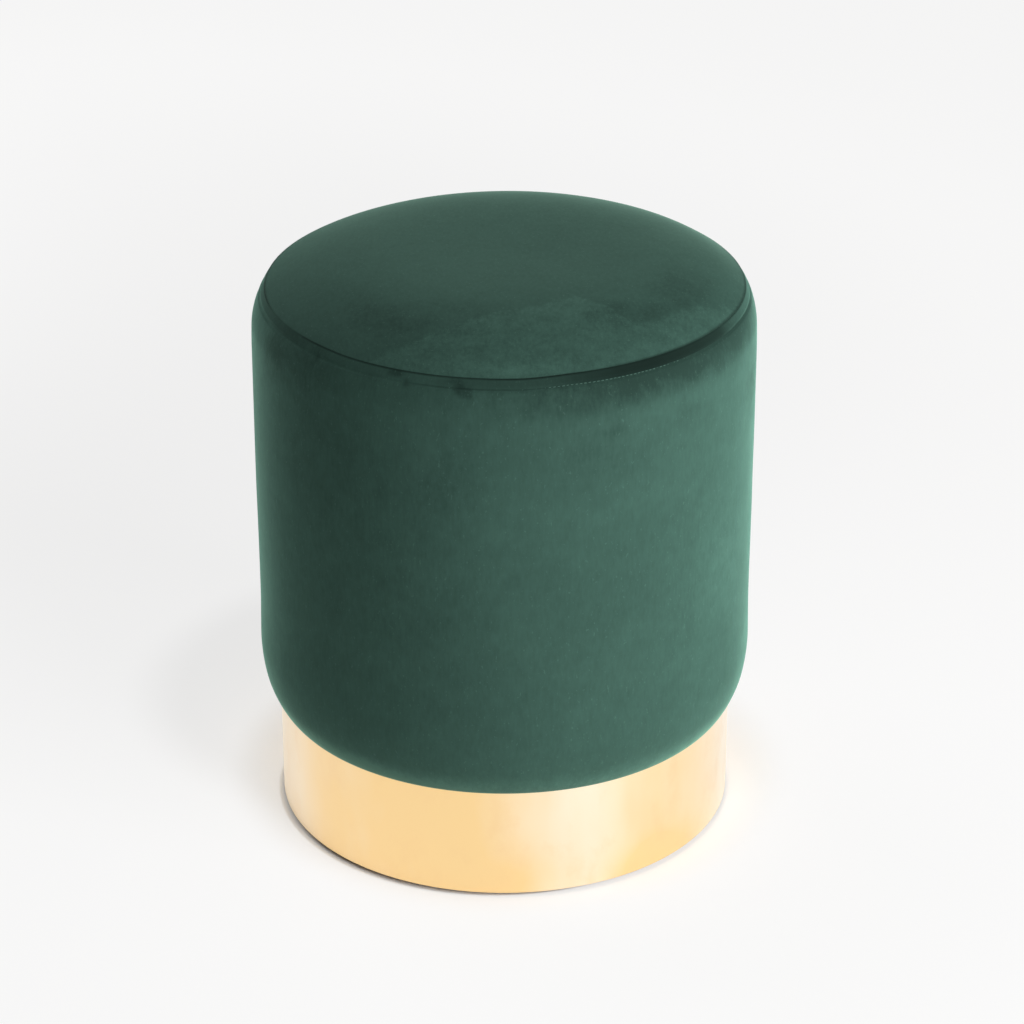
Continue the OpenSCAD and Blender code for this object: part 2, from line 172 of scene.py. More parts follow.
# Puckers that show in front: azimuth in degrees, half width, reach below the stitches, depth and
# lean to the right
FRONT_PUCKERS = [
    (-112.6, 3.0 * MM, 3.6 * MM, 0.35 * MM, 0.3),
    (-101.4, 2.2 * MM, 3.6 * MM, 0.45 * MM, 1.3),
    (-71.5, 2.4 * MM, 5.0 * MM, 0.22 * MM, 0.2),
    (-50.0, 3.0 * MM, 6.0 * MM, 0.25 * MM, -0.3),
    (-137.0, 3.0 * MM, 5.0 * MM, 0.30 * MM, 0.0),
]

# How deep the topstitching is drawn into the pile: azimuth in degrees and share
STITCHES_SUNK = [
    (-180, 1.0), (-120, 1.0), (-105, 0.92), (-84, 0.9), (-76, 0.4), (-68, 0.25), (-60, 0.4),
    (-52, 0.6), (-46, 0.85), (-38, 1.0), (-10, 1.0), (30, 0.2), (150, 0.2), (180, 1.0),
]

# Painted shade in the valley that the topstitching pulls: azimuth in degrees and share
VALLEY_SHADE = [
    (-180, 0.1), (-138, 0.1), (-116, 0.15), (-109, 0.55), (-100, 0.85), (-20, 0.9), (0, 0.3),
    (40, 0.25), (150, 0.25), (180, 0.1),
]

# How much higher than level the seam is sewn: azimuth in degrees and mm
SEAM_RAISED = [
    (-180, 0.4), (-150, 0.6), (-138, 0.6), (-128, 0.0), (-86, 0.0), (-76, 1.3), (-64, 1.5),
    (-43, 1.3), (-22, 1.4), (-8, 0.9), (20, 0.2), (150, 0.1), (180, 0.4),
]

# Painted shade of the seam's crease, how far it reaches up the seat: azimuth in degrees and mm
SEAM_SHADE_REACH = [
    (-180, 1.0), (-168, 0.6), (-158, 0.1), (-82, 0.1), (-66, 0.6), (-50, 1.1), (-22, 1.2),
    (-8, 1.0), (5, 1.3), (20, 2.0), (36, 2.6), (50, 1.0), (70, 0.5), (110, 0.5), (130, 1.0),
    (144, 2.6), (160, 2.0), (180, 1.0),
]

# How dark that painted shade is: azimuth in degrees and share
SEAM_SHADE_DEPTH = [
    (-180, 1.0), (-168, 0.9), (-158, 0.3), (-150, 0.3), (-142, 0.7), (-128, 0.7), (-100, 0.8),
    (-86, 1.0), (-50, 1.0), (-30, 0.8), (-10, 0.8), (20, 1.0), (180, 1.0),
]

# Painted light where the panel rolls in under the body, for the light thrown up from the gold and
# the floor and the sheen at the turn: azimuth in degrees and share
FOOT_PAINTED_LIGHT = [
    (-180, 1.6), (-145, 2.3), (-125, 2.4), (-108, 1.5), (-90, 0.8), (-50, 0.9), (0, 0.7),
    (180, 1.0),
]

# Painted highlight on the gold: how far its colour is lightened where the front softbox's
# highlight and the whiter reflections near the band's edges fall: azimuth in degrees and share
PAINTED_HIGHLIGHT = [
    (-180, 0.5), (-155, 0.45), (-142, 0.1), (-125, 0.0), (-100, 0.0), (-88, 0.2), (-76, 0.65),
    (-67, 0.7), (-58, 0.35), (-49, 0.18), (-38, 0.2), (-25, 0.45), (-15, 0.8), (10, 0.4),
    (40, 0.0), (130, 0.1), (180, 0.5),
]

# Where the painted highlight is stronger or weaker in one place: azimuth in degrees, height in
# mm, half the turn and width, and share
PAINTED_HIGHLIGHT_PATCHES = [(-51, 4, 11, 18, -0.85), (-84, 14, 10, 22, -0.3)]

# Painted shadow on the floor: shades in the share of the floor that is shown at its plain colour,
# which let the lit floor's shadow show deeper beside the plinth and towards the back left. Where
# each starts and ends in mm from the plinth, the factor inside and outside, and its middle in mm
FLOOR_PAINTED_SHADOWS = [
    (-5, -3, 0, 1, -7.4, -2.4),
    (1, 52, 0.41, 1, 3, 24),
    (0, 60, 0.84, 1, -80, 140),
    (-140, 775, 0.76, 1, -375, 765),
    (300, 1200, 1, 1.05, 0, 0),
]


def number(name, description, default, **options):
    return FloatProperty(name=name, description=description, default=default, **options)


def length(name, description, default):
    return number(name, description, default, unit="LENGTH", precision=5)


def angle(name, description, degrees):
    return number(name, description, math.radians(degrees), subtype="ANGLE")


def colour(name, description, default):
    return FloatVectorProperty(
        name=name, description=description, default=default, subtype="COLOR", size=3, min=0, max=1
    )


class PoufSkinSizes(bpy.types.PropertyGroup):
    """Sizes of the velvet's outer skin, as in the construction"""

    low_swell: length("Low swell", "How much further out the velvet stands low down", 0.7 * MM)
    under_h: length("Lower curve", "Height of the curve that turns in under the body", 51 * MM)
    shoulder_h: length("Rounded edge", "Height of the rounded edge below the seam", 27.5 * MM)
    shoulder_in: length("Edge draw", "How far the rounded edge draws in the seam", 9.1 * MM)
    crown_h: length("Crown", "Rise of the middle of the seat above the seam", 23.6 * MM)
    crown_power: number("Crown flatness", "How flat the seat stays before it falls", 4.6)
    cover_t: length("Velvet thickness", "Thickness of the velvet with its backing", 1.2 * MM)
    stitch_drop: length("Topstitch drop", "Height of the topstitching below the seam", 6.7 * MM)
    stitch_dip: length("Topstitch depth", "Depth of the valley that the stitching pulls", 0.6 * MM)
    stitch_w: length("Valley half width", "Half the width of that valley", 2 * MM)
    hem_past: length("Hem", "How far the turned edges reach past the topstitching", 2.4 * MM)
    tuck_r: length("Tuck", "Rounding of the seat panel where it meets the folded edge", 0.6 * MM)
    tuck_turn: angle("Tuck turn", "How far from level the seat faces where it meets the fold", 35)
    roll_out: length("Roll", "How far the velvet rolls out over the plinth's edge", 3.5 * MM)
    turn_in: length("Turn in", "How far the side panel turns in under the base board", 32 * MM)
    seam_slit: length("Back seam", "Gap between the side panel's edges at the back", 0.4 * MM)


class PoufHandwork(bpy.types.PropertyGroup):
    """What the sewing and stuffing leave in the velvet"""

    stitch_l: length("Stitch length", "Length of one topstitch with its gap", 3.0 * MM)
    thread_d: length("Thread", "Diameter of the topstitching thread", 0.48 * MM)
    stitch_sink: length(
        "Sunk stitches", "How far the stitches lie in where they are drawn in most", 0.42 * MM
    )
    puckers: IntProperty(name="Puckers", description="Number of puckers round the back", default=14)
    pucker_depth: length("Pucker depth", "Depth of the deepest pucker", 0.55 * MM)
    swell: length("Swell", "How far the velvet may stray from its mean shape", 0.25 * MM)
    slack: length("Slack", "Simulated unevenness that gives most of that swell", 2 * MM)
    voxel: length("Voxel", "Size of the remeshed faces that the cloth is simulated on", 6 * MM)
    filled_out: length("Filled out", "How far the stuffing fills the side out", 0.6 * MM)
    uneven_thread: length("Uneven thread", "How much deeper some single stitches lie", 0.16 * MM)
    seam_lean: length("Seam lean", "How far the rounded edge leans to the right", 0.6 * MM)
    crown_lean: length("Crown lean", "How much further the crown leans to the right", 2.1 * MM)


class PoufColours(bpy.types.PropertyGroup):
    """Colours of the finishes"""

    velvet: colour("Velvet", "Colour of the pile where it stands up", (0.057, 0.126, 0.100))
    velvet_deep: colour("Velvet shade", "Colour of the pile that lies over", (0.024, 0.054, 0.043))
    velvet_light: colour("Velvet light", "Colour of fibres that catch light", (0.12, 0.24, 0.19))
    velvet_sheen: colour("Velvet sheen", "Colour of the pile at a low angle", (0.60, 1.0, 0.795))
    thread: colour("Thread", "Colour of the topstitching", (0.08, 0.155, 0.127))
    gold: colour("Gold", "Colour of the plated sheet steel", (1.0, 0.69, 0.30))
    gold_worn: colour("Worn gold", "Colour of the steel where it is handled", (0.93, 0.60, 0.26))
    # Light gold, the colour of thin plating and also of the painted highlight
    thin_gold_and_highlight: colour("Pale gold", "Colour of thinly plated steel", (1.0, 0.90, 0.74))
    steel: colour("Steel", "Colour of the zinc-plated fasteners", (0.62, 0.63, 0.65))
    spangle: colour("Zinc spangle", "Colour of the darker zinc crystals", (0.42, 0.44, 0.48))
    plywood: colour("Plywood", "Colour of the boards' face", (0.56, 0.38, 0.21))
    beech: colour("Beech", "Colour of the posts and blocks", (0.60, 0.42, 0.25))
    fibreboard: colour("Fibreboard", "Colour of the drum's top and ring", (0.36, 0.24, 0.14))
    hardboard: colour("Hardboard", "Colour of the bent shell", (0.24, 0.13, 0.065))
    foam: colour("Foam", "Colour of the foam", (0.82, 0.76, 0.56))
    wadding: colour("Wadding", "Colour of the wadding", (0.87, 0.87, 0.86))
    dust_cloth: colour("Dust cloth", "Colour of the non-woven cloth below", (0.022, 0.022, 0.024))
    plastic: colour("Plastic", "Colour of the glides", (0.018, 0.018, 0.020))


class PoufPlinthSizes(bpy.types.PropertyGroup):
    """Sizes of the sheet steel and the dust cover"""

    edge_round: length("Edge rounding", "Rounding of the steel's edges", 0.22 * MM)
    wave: length("Waviness", "How far the sheet strays from a true circle", 0.10 * MM)
    slit: length("Butt joint", "Gap where the steel's ends meet at the back", 0.4 * MM)
    sag: length("Dust cover sag", "How far the dust cover hangs in its middle", 1.1 * MM)
    pull: length("Staple pull", "How far a staple pulls the dust cover up", 0.25 * MM)


class PoufStage(bpy.types.PropertyGroup):
    """The camera, the floor and the lamps"""

    camera_back: length("Camera distance", "Distance of the camera in front of the pouf", 2.2060)
    camera_up: length("Camera height", "Height of the camera above the floor", 1.3056)
    camera_pitch: angle("Pitch", "How far the camera looks down", 26.21)
    camera_yaw: angle("Yaw", "How far the camera looks to the right", 0.140)
    lens: number("Lens", "Focal length in mm on a 36 mm sensor", 121.06)
    floor: colour("Floor", "Colour of the floor and backdrop", (0.98, 0.978, 0.976))
    floor_plain: number("Plain floor", "Share of the floor that shows its plain colour", 0.86)
    world: number("World", "Level of the soft light from all round", 0.1)
    softbox: length("Softbox", "Width of each square softbox", 1.2)
    lamp_distance: length("Lamp distance", "Distance of the softboxes from the pouf", 1.75)
    front_right: number("Front right", "Power of the main softbox, in watts", 30.2)
    right: number("Right", "Power of the softbox on the right, in watts", 6.7)
    back_left: number("Back left", "Power of the softbox behind, in watts", 14.5)


def settings(name):
    return getattr(bpy.context.scene, name)


def blend_between(value, low, high):
    """0 below low, 1 above high, and smooth between them"""
    share = min(1.0, max(0.0, (value - low) / (high - low)))
    return share * share * (3 - 2 * share)


def blend_over(value, base, low, high):
    """The same, for a low and a high in mm from a base"""
    return blend_between(value, base + low * MM, base + high * MM)


def read_off(table, azimuth):
    """The value of a table of azimuths in degrees, in a straight line between its entries"""
    turn = math.degrees(azimuth)
    for (start, first), (end, last) in zip(table, table[1:]):
        if turn <= end:
            return first + (last - first) * max(0.0, turn - start) / max(NEAR, end - start)
    return table[-1][1]


def steps(first, last, count):
    return [first + (last - first) * i / count for i in range(count + 1)]


def at(radius, height):
    """A point of an upright outline"""
    return Vector((radius, 0, height))


def foot_of(vert):
    """The place on the floor straight below a vertex"""
    return Vector((vert.co.x, vert.co.y, 0))


class Skin:
    """The velvet's outer skin, in the three stretches that the construction has. An inset moves a
    point in, square to the skin."""

    fold_below = 0.7

    def __init__(self):
        size = self.sizes = settings("pouf_skin")
        self.low_r = SIDE_HIGH.x
        self.body_r = self.low_r - size.low_swell
        self.seam_r = self.body_r - size.shoulder_in
        self.turn_r = SHELL_HIGH.x - size.cover_t + size.roll_out
        self.under_w = self.low_r - self.turn_r
        self.cover_z = SIDE_LOW.z
        self.seam_z = SEAT_HIGH.z - size.crown_h
        self.shoulder_z = self.seam_z - size.shoulder_h
        self.under_top_z = self.cover_z + size.under_h
        self.stitch = 1 - size.stitch_drop / size.shoulder_h
        self.stitch_z = self.seam_z - size.stitch_drop
        self.valley_w = size.stitch_w / size.shoulder_h
        self.hem = 1 - (size.stitch_drop + size.hem_past) / size.shoulder_h
        steepest = math.hypot(size.shoulder_h, 2 * size.shoulder_in)
        self.fold = self.fold_below * size.cover_t / steepest

    def under(self, turn, inset=0.0):
        """Lower curve: turn runs from 0, flat under the body, to a quarter circle, up the side"""
        along, down = math.sin(turn), math.cos(turn)
        outward = at(self.sizes.under_h * along, -self.under_w * down).normalized()
        height = self.under_top_z - self.sizes.under_h * down
        return at(self.turn_r + self.under_w * along, height) - inset * outward

    def shoulder_out(self, rise):
        """The way that the rounded edge faces"""
        return at(self.sizes.shoulder_h, 2 * self.sizes.shoulder_in * rise).normalized()

    def shoulder(self, rise, inset=0.0):
        """Rounded edge: rise runs from 0, at the straight side, to 1, at the seam"""
        radius = self.body_r - self.sizes.shoulder_in * rise * rise
        height = self.shoulder_z + self.sizes.shoulder_h * rise
        return at(radius, height) - inset * self.shoulder_out(rise)

    def crown(self, radius, inset=0.0):
        """Crowned seat, from the middle to the seam"""
        share = radius / self.seam_r
        power = self.sizes.crown_power
        slope = self.sizes.crown_h * power / self.seam_r * share ** (power - 1)
        point = at(radius, self.seam_z + self.sizes.crown_h * (1 - share**power))
        return point - inset * at(slope, 1).normalized()

    def valley(self, rise):
        """From 0 beside the topstitching to 1 along it"""
        return max(0.0, 1 - ((rise - self.stitch) / self.valley_w) ** 2) ** 2

    def rise_at(self, height):
        return (height - self.shoulder_z) / self.sizes.shoulder_h


def turned(outline, columns, slit=0.0, closed=True):
    """A bmesh of an upright outline spun round the Z axis, from the back joint round to it again"""
    bm = bmesh.new()
    verts = [bm.verts.new(point) for point in outline]
    ends = verts[1:] + verts[:1] if closed else verts[1:]
    edges = [bm.edges.new(pair) for pair in zip(verts, ends)]
    sector = (2 * math.pi - slit) / SECTORS
    bmesh.ops.rotate(
        bm, verts=verts, cent=(0, 0, 0), matrix=Matrix.Rotation(BACK + slit / 2, 3, "Z")
    )
    bmesh.ops.spin(
        bm,
        geom=verts + edges,
        cent=(0, 0, 0),
        axis=(0, 0, 1),
        angle=sector,
        steps=columns // SECTORS,
        use_merge=False,
        use_duplicate=False,
    )
    repeat_sector(bm, sector, SECTORS)
    bmesh.ops.remove_doubles(bm, verts=bm.verts, dist=0.001 * MM)
    return bm


def whole(bm):
    return [*bm.verts, *bm.edges, *bm.faces]


def repeat_sector(bm, sector, count):
    """Repeats a bmesh round the Z axis by doubling it, so that count is a power of two"""
    while count > 1:
        copies = bmesh.ops.duplicate(bm, geom=whole(bm))["geom"]
        verts = [element for element in copies if isinstance(element, bmesh.types.BMVert)]
        bmesh.ops.rotate(bm, verts=verts, cent=(0, 0, 0), matrix=Matrix.Rotation(sector, 3, "Z"))
        sector *= 2
        count //= 2


def close_ends(bm):
    """Fills the two ends of an open hoop and returns the new faces"""
    open_edges = [edge for edge in bm.edges if edge.is_boundary]
    return bmesh.ops.holes_fill(bm, edges=open_edges, sides=0)["faces"]


def soften(bm, edges, offset, segments):
    bmesh.ops.bevel(
        bm,
        geom=edges,
        offset=offset,
        segments=segments,
        profile=0.5,
        material=-1,
        affect="EDGES",
        clamp_overlap=True,
    )


def rings_of(bm):
    """The vertices of a spun shape, ring by ring"""
    rings = {}
    for vert in bm.verts:
        place = vert.co
        key = (round(math.hypot(place.x, place.y), 6), round(place.z, 6))
        rings.setdefault(key, []).append(vert)
    return rings


def finished_mesh(bm, name):
    mesh = bpy.data.meshes.new(name)
    bm.to_mesh(mesh)
    bm.free()
    return mesh


def add_object(name, data):
    made = bpy.data.objects.new(name, data)
    bpy.context.scene.collection.objects.link(made)
    return made


def make_piece(bm, name, material, replaced=(), sharp=None):
    """Makes a finished bmesh a piece of the pouf, which rides on its one body. Edges that turn by
    more than sharp, in degrees, stay sharp."""
    bmesh.ops.recalc_face_normals(bm, faces=bm.faces)
    mesh = finished_mesh(bm, name)
    mesh.materials.append(material)
    mesh.shade_smooth()
    if sharp:
        mesh.set_sharp_from_angle(angle=math.radians(sharp))
    piece = add_object(name, mesh)
    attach(piece, "root")
    if replaced:
        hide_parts(*replaced)
    return piece


class Nodes:
    """A node tree in the making, with short ways to add to it"""

    def __init__(self, tree):
        self.tree = tree

    def fill(self, node, inputs):
        """Sets inputs to constants, or links other nodes' outputs to them"""
        for socket, value in inputs.items():
            target = node.inputs[socket]
            if isinstance(value, bpy.types.NodeSocket):
                self.tree.links.new(value, target)
            elif target.type == "RGBA":
                target.default_value = (*value, 1)
            else:
                target.default_value = value

    def node(self, kind, inputs=None, **options):
        made = self.tree.nodes.new(kind)
        for option, value in options.items():
            setattr(made, option, value)
        self.fill(made, inputs or {})
        return made

    def spread(self, value, low, high, out_low=0.0, out_high=1.0, **options):
        """Stretches the part of a value between low and high over a new range"""
        ends = {"From Min": low, "From Max": high, "To Min": out_low, "To Max": out_high}
        made = self.node("ShaderNodeMapRange", {"Value": value, **ends}, **options)
        return made.outputs["Result"]

    def math(self, operation, first, second=0.0):
        return self.node("ShaderNodeMath", {0: first, 1: second}, operation=operation).outputs[0]

    def seen_directly(self):
        """1 for what the camera, a reflection or glass sees, and 0 for light on the pouf"""
        path = self.node("ShaderNodeLightPath").outputs
        seen = self.math("MAXIMUM", path["Is Camera Ray"], path["Is Glossy Ray"])
        return self.math("MAXIMUM", seen, path["Is Transmission Ray"])


class Finish(Nodes):
    """A surface's material in the making"""

    def __init__(self, name, **constants):
        self.material = bpy.data.materials.new(name)
        self.material.use_nodes = True
        super().__init__(self.material.node_tree)
        self.shader = self.tree.nodes["Principled BSDF"]
        self.set(**constants)
        self.place = self.node("ShaderNodeTexCoord").outputs["Object"]

    def set(self, **values):
        """Sets the shader's sockets, with _ for each space in their names"""
        self.fill(self.shader, {name.replace("_", " "): value for name, value in values.items()})

    def noise(self, scale, stretch=(1, 1, 1), detail=2.0, roughness=0.5, distortion=0.0):
        """Noise on object coordinates, which are first scaled by axis"""
        place = self.node("ShaderNodeMapping", {"Vector": self.place, "Scale": stretch})
        inputs = {
            "Vector": place.outputs["Vector"],
            "Scale": scale,
            "Detail": detail,
            "Roughness": roughness,
            "Distortion": distortion,
        }
        return self.node("ShaderNodeTexNoise", inputs).outputs["Fac"]

    def cells(self, scale, randomness=1.0):
        inputs = {"Vector": self.place, "Scale": scale, "Randomness": randomness}
        return self.node("ShaderNodeTexVoronoi", inputs).outputs["Distance"]

    def total(self, *shares):
        """Adds up values, each with its weight"""
        total = 0.0
        for value, weight in shares:
            inputs = {0: value, 1: weight, 2: total}
            total = self.node("ShaderNodeMath", inputs, operation="MULTIPLY_ADD").outputs[0]
        return total

    def mix(self, factor, first, second):
        made = self.node("ShaderNodeMix", {0: factor, 6: first, 7: second}, data_type="RGBA")
        return made.outputs[2]

    def bump(self, height, distance, strength=1.0, under=None):
        inputs = {"Height": height, "Distance": distance, "Strength": strength}
        if under:
            inputs["Normal"] = under
        return self.node("ShaderNodeBump", inputs).outputs["Normal"]

    def attribute(self, name):
        return self.node("ShaderNodeAttribute", attribute_name=name).outputs["Fac"]

    def dress(self, pattern, low, high, first, second, depth, strength):
        """Colours the surface and bumps it by one pattern"""
        self.set(
            Base_Color=self.mix(self.spread(pattern, low, high), first, second),
            Normal=self.bump(pattern, depth, strength),
        )
        return self.material


def shaded(base, share):
    """A colour made deeper or paler"""
    return [part * share for part in base]


def velvet(name, run, grain, stand, sheen, rim):
    """Short cut pile: deep in colour face on, and lighter at a low angle by its sheen and by a
    painted sheen in its colour. A hand's brush strokes have laid it deeper or paler in places, with
    feathery borders. Painted shade darkens it in creases, the valley and the puckers, and painted
    light lightens the side's foot. run stretches the fine streaks along the pile, grain weighs the
    clouds, blotches and streaks in it, stand is how far it stands up, sheen is the shader's sheen,
    and rim how much more painted sheen it gets at a very low angle."""
    colours = settings("pouf_colours")
    finish = Finish(
        name,
        Roughness=0.9,
        Specular_IOR_Level=0.05,
        Sheen_Weight=sheen,
        Sheen_Roughness=0.3,
        Sheen_Tint=colours.velvet_sheen,
    )
    clouds = finish.noise(14, detail=3, distortion=0.5)
    blotches = finish.noise(75, detail=3, roughness=0.6)
    streaks = finish.noise(430, run, detail=2, roughness=0.6)
    pile = finish.noise(1300, detail=2)
    specks = finish.spread(finish.noise(620, (1, 1, 0.6), detail=1), 0.68, 0.75)
    uneven = finish.total(*zip((clouds, blotches, streaks), grain), (-0.5, sum(grain)))
    tufts = finish.total((blotches, 0.5), (streaks, 0.25), (pile, 0.25))
    tufts = finish.spread(tufts, 0.35, 0.65, -1, 1)
    # Brush strokes, and on the side also painted light and painted shade
    strokes = finish.attribute("nap_and_painted_light")
    feathers = finish.math("MULTIPLY", finish.math("ABSOLUTE", strokes), tufts)
    ruffled = finish.total((finish.attribute("ruffled"), 1.0), (tufts, 0.45))
    ruffled = finish.spread(ruffled, -0.3, 0.3)
    tangle = finish.math("MULTIPLY", ruffled, tufts)
    lie = finish.total(
        (uneven, 1.0),
        (strokes, 0.5),
        (feathers, 0.22),
        (ruffled, 0.19),
        (tangle, 0.17),
        (stand, 1.0),
    )
    base = finish.mix(finish.spread(lie, 0, 1), colours.velvet_deep, colours.velvet)
    base = finish.mix(finish.math("MULTIPLY", specks, 0.16), base, colours.velvet_light)
    # Painted shade: the colour is darkened towards a very deep green in the creases, the valley and
    # the puckers, on the strip under the seat's edge and at the foot
    base = finish.mix(finish.attribute("pressed"), base, shaded(colours.velvet_deep, 0.3))
    # Painted sheen: the colour is lightened towards a low and a very low angle to the view, on top
    # of the shader's own sheen
    facing = finish.node("ShaderNodeLayerWeight", {"Blend": 0.5}).outputs["Facing"]
    low, very_low = finish.math("POWER", facing, 2.0), finish.math("POWER", facing, 7.0)
    painted_sheen = finish.total((low, 1.0), (very_low, rim), (1.0, 1.0))
    painted_sheen_colour = finish.node("ShaderNodeVectorMath", {0: base, 3: painted_sheen}, operation="SCALE")
    lay = finish.bump(uneven, 0.4 * MM, 0.3)
    finish.set(Base_Color=painted_sheen_colour.outputs[0], Normal=finish.bump(pile, 0.15 * MM, 0.15, lay))
    return finish.material


def thread_finish():
    colours = settings("pouf_colours")
    finish = Finish("Topstitching thread", Roughness=0.6, Specular_IOR_Level=0.1)
    twist = finish.noise(2600, (1, 1, 0.3), detail=1)
    return finish.dress(twist, 0.4, 0.6, colours.velvet, colours.thread, 0.08 * MM, 0.5)


def gold_steel():
    """Plated sheet steel under clear lacquer: rolled lines run round it, and handling has left its
    polish uneven. A painted highlight, set round the band by a table, also lightens its colour."""
    colours = settings("pouf_colours")
    finish = Finish(
        "Gold sheet steel",
        Metallic=1.0,
        Anisotropic=0.1,
        Anisotropic_Rotation=0.25,
        Coat_Weight=1.0,
        Coat_IOR=1.7,
        Coat_Roughness=0.4,
    )
    rolled = finish.noise(60, (0.05, 0.05, 30), detail=3)
    handled = finish.noise(14, (1, 1, 0.45), detail=3, roughness=0.6)
    marks = finish.noise(40, (1, 1, 0.6), detail=5, roughness=0.65)
    marks = finish.math("MULTIPLY", finish.spread(marks, 0.52, 0.75), 0.35)
    waves = finish.noise(13, (1, 1, 0.15), detail=1)
    # Painted highlight, with the plating's uneven tone
    plating_and_highlight = finish.total((finish.attribute("painted_highlight"), 1.0), (handled, 0.9), (-0.45, 1.0))
    base = finish.mix(finish.spread(plating_and_highlight, 0, 1), colours.gold, colours.thin_gold_and_highlight)
    finish.set(
        Base_Color=finish.mix(marks, base, colours.gold_worn),
        Roughness=finish.spread(handled, 0.3, 0.7, 0.32, 0.42),
        Normal=finish.bump(rolled, 0.02 * MM, 0.2, finish.bump(waves, 1.0 * MM, 0.3)),
    )
    return finish.material


def zinc_steel():
    colours = settings("pouf_colours")
    finish = Finish("Zinc-plated steel", Metallic=1.0)
    spangle = finish.noise(900, detail=2)
    share = finish.spread(spangle, 0.35, 0.65, 0, 0.25)
    finish.set(
        Base_Color=finish.mix(share, colours.steel, colours.spangle),
        Roughness=finish.spread(spangle, 0.3, 0.7, 0.32, 0.5),
    )
    return finish.material


def wood_finish(name, base, grain):
    """Wood with its grain drawn out along one axis"""
    finish = Finish(name, Roughness=0.6)
    rings = finish.noise(45, grain, detail=5, roughness=0.6, distortion=0.8)
    pores = finish.noise(700, grain, detail=2)
    dark = shaded(base, 0.62)
    shade = finish.mix(finish.spread(rings, 0.35, 0.7), base, dark)
    finish.set(
        Base_Color=finish.mix(finish.spread(pores, 0.58, 0.7, 0, 0.45), shade, dark),
        Normal=finish.bump(pores, 0.1 * MM, 0.3),
    )
    return finish.material


def ply_finish(name, base, layer_t):
    """Plywood: grain on the faces and layers on the edges"""
    half_wave = 0.157  # of a wave texture of scale 1, in metres
    finish = Finish(name, Roughness=0.62)
    grain = finish.noise(30, (0.35, 3, 3), detail=5, distortion=0.7)
    dark = shaded(base, 0.6)
    face = finish.mix(finish.spread(grain, 0.35, 0.7), base, dark)
    waves = {"Vector": finish.place, "Scale": half_wave / layer_t, "Distortion": 0.4, "Detail": 2}
    layers = finish.node("ShaderNodeTexWave", waves, bands_direction="Z").outputs["Fac"]
    edge = finish.mix(finish.spread(layers, 0.3, 0.7), dark, base)
    normal = finish.node("ShaderNodeNewGeometry").outputs["True Normal"]
    upright = finish.node("ShaderNodeSeparateXYZ", {"Vector": normal}).outputs["Z"]
    is_edge = finish.math("LESS_THAN", finish.math("ABSOLUTE", upright), 0.5)
    finish.set(Base_Color=finish.mix(is_edge, face, edge), Normal=finish.bump(grain, 0.1 * MM, 0.3))
    return finish.material


def pressed_board(name, base, fleck):
    """Fibreboard or hardboard: felted fibres, with no grain"""
    finish = Finish(name, Roughness=0.75)
    fibres = finish.noise(fleck, detail=6, roughness=0.7)
    return finish.dress(fibres, 0.35, 0.65, shaded(base, 0.7), base, 0.08 * MM, 0.4)


def foam_finish():
    base = settings("pouf_colours").foam
    finish = Finish("Foam", Roughness=0.9)
    return finish.dress(finish.cells(900), 0.1, 0.5, shaded(base, 0.72), base, 0.3 * MM, 0.6)


def wadding_finish():
    base = settings("pouf_colours").wadding
    finish = Finish("Wadding", Roughness=0.95, Sheen_Weight=0.5)
    fibres = finish.noise(420, detail=5, roughness=0.75, distortion=2.0)
    return finish.dress(fibres, 0.35, 0.6, shaded(base, 0.85), base, 0.8 * MM, 0.6)


def dust_cloth_finish():
    """Non-woven cloth: felted black fibres, pressed in a grid of small points"""
    base = settings("pouf_colours").dust_cloth
    finish = Finish("Non-woven cloth", Roughness=0.85, Sheen_Weight=0.25)
    fibres = finish.noise(800, detail=4, roughness=0.7, distortion=1.5)
    points = finish.cells(520, randomness=0.05)
    finish.set(
        Base_Color=finish.mix(finish.spread(fibres, 0.4, 0.7), base, shaded(base, 2.4)),
        Normal=finish.bump(points, 0.15 * MM, 0.5, finish.bump(fibres, 0.1 * MM, 0.4)),
    )
    return finish.material


def plastic_finish():
    base = settings("pouf_colours").plastic
    finish = Finish("Black plastic", Roughness=0.42)
    grain = finish.noise(1200, detail=2)
    return finish.dress(grain, 0.35, 0.65, base, shaded(base, 1.5), 0.04 * MM, 0.4)


def dress_nodes(material, slot):
    """Gives a finish to each CAD node of a material slot that is still shown"""
    for part in frame["record"]["subparts"]:
        node = frame["nodes"][part["node"]]
        if part["material_slot"] == slot and not node.hide_render:
            node.data.materials.clear()
            node.data.materials.append(material)


def mottle(place, scale):
    """Smooth noise about a half"""
    return 0.5 + 0.5 * noise.noise(place * scale)


def stuffed_body(skin):
    """The whole body under the velvet as one closed shape, for the cloth to be simulated on"""
    outline = [skin.crown(radius) for radius in steps(0, skin.seam_r, 16)]
    outline += [skin.shoulder(rise) for rise in steps(0.75, 0, 3)]
    outline += [skin.under(turn) for turn in steps(BACK, 0, 10)]
    outline.append(at(0, skin.cover_z))
    return turned(outline, 96, closed=False)


def held_share(skin, place):
    """How firmly the sewing and the staples hold the velvet, from 0 to 1"""
    radius = math.hypot(place.x, place.y)
    seam = math.hypot(radius - skin.seam_r, place.z - skin.seam_z)
    back = math.hypot(place.x, place.y - skin.low_r) if place.z < skin.seam_z else 1
    under = place.z - skin.cover_z
    nearest = min(seam - skin.sizes.stitch_drop, back, under)
    return 1 - blend_over(nearest, 0, *HELD_OUT)


def settled_mesh(body):
    """A body's mesh with its modifiers applied"""
    shown = body.evaluated_get(bpy.context.evaluated_depsgraph_get())
    return bpy.data.meshes.new_from_object(shown)


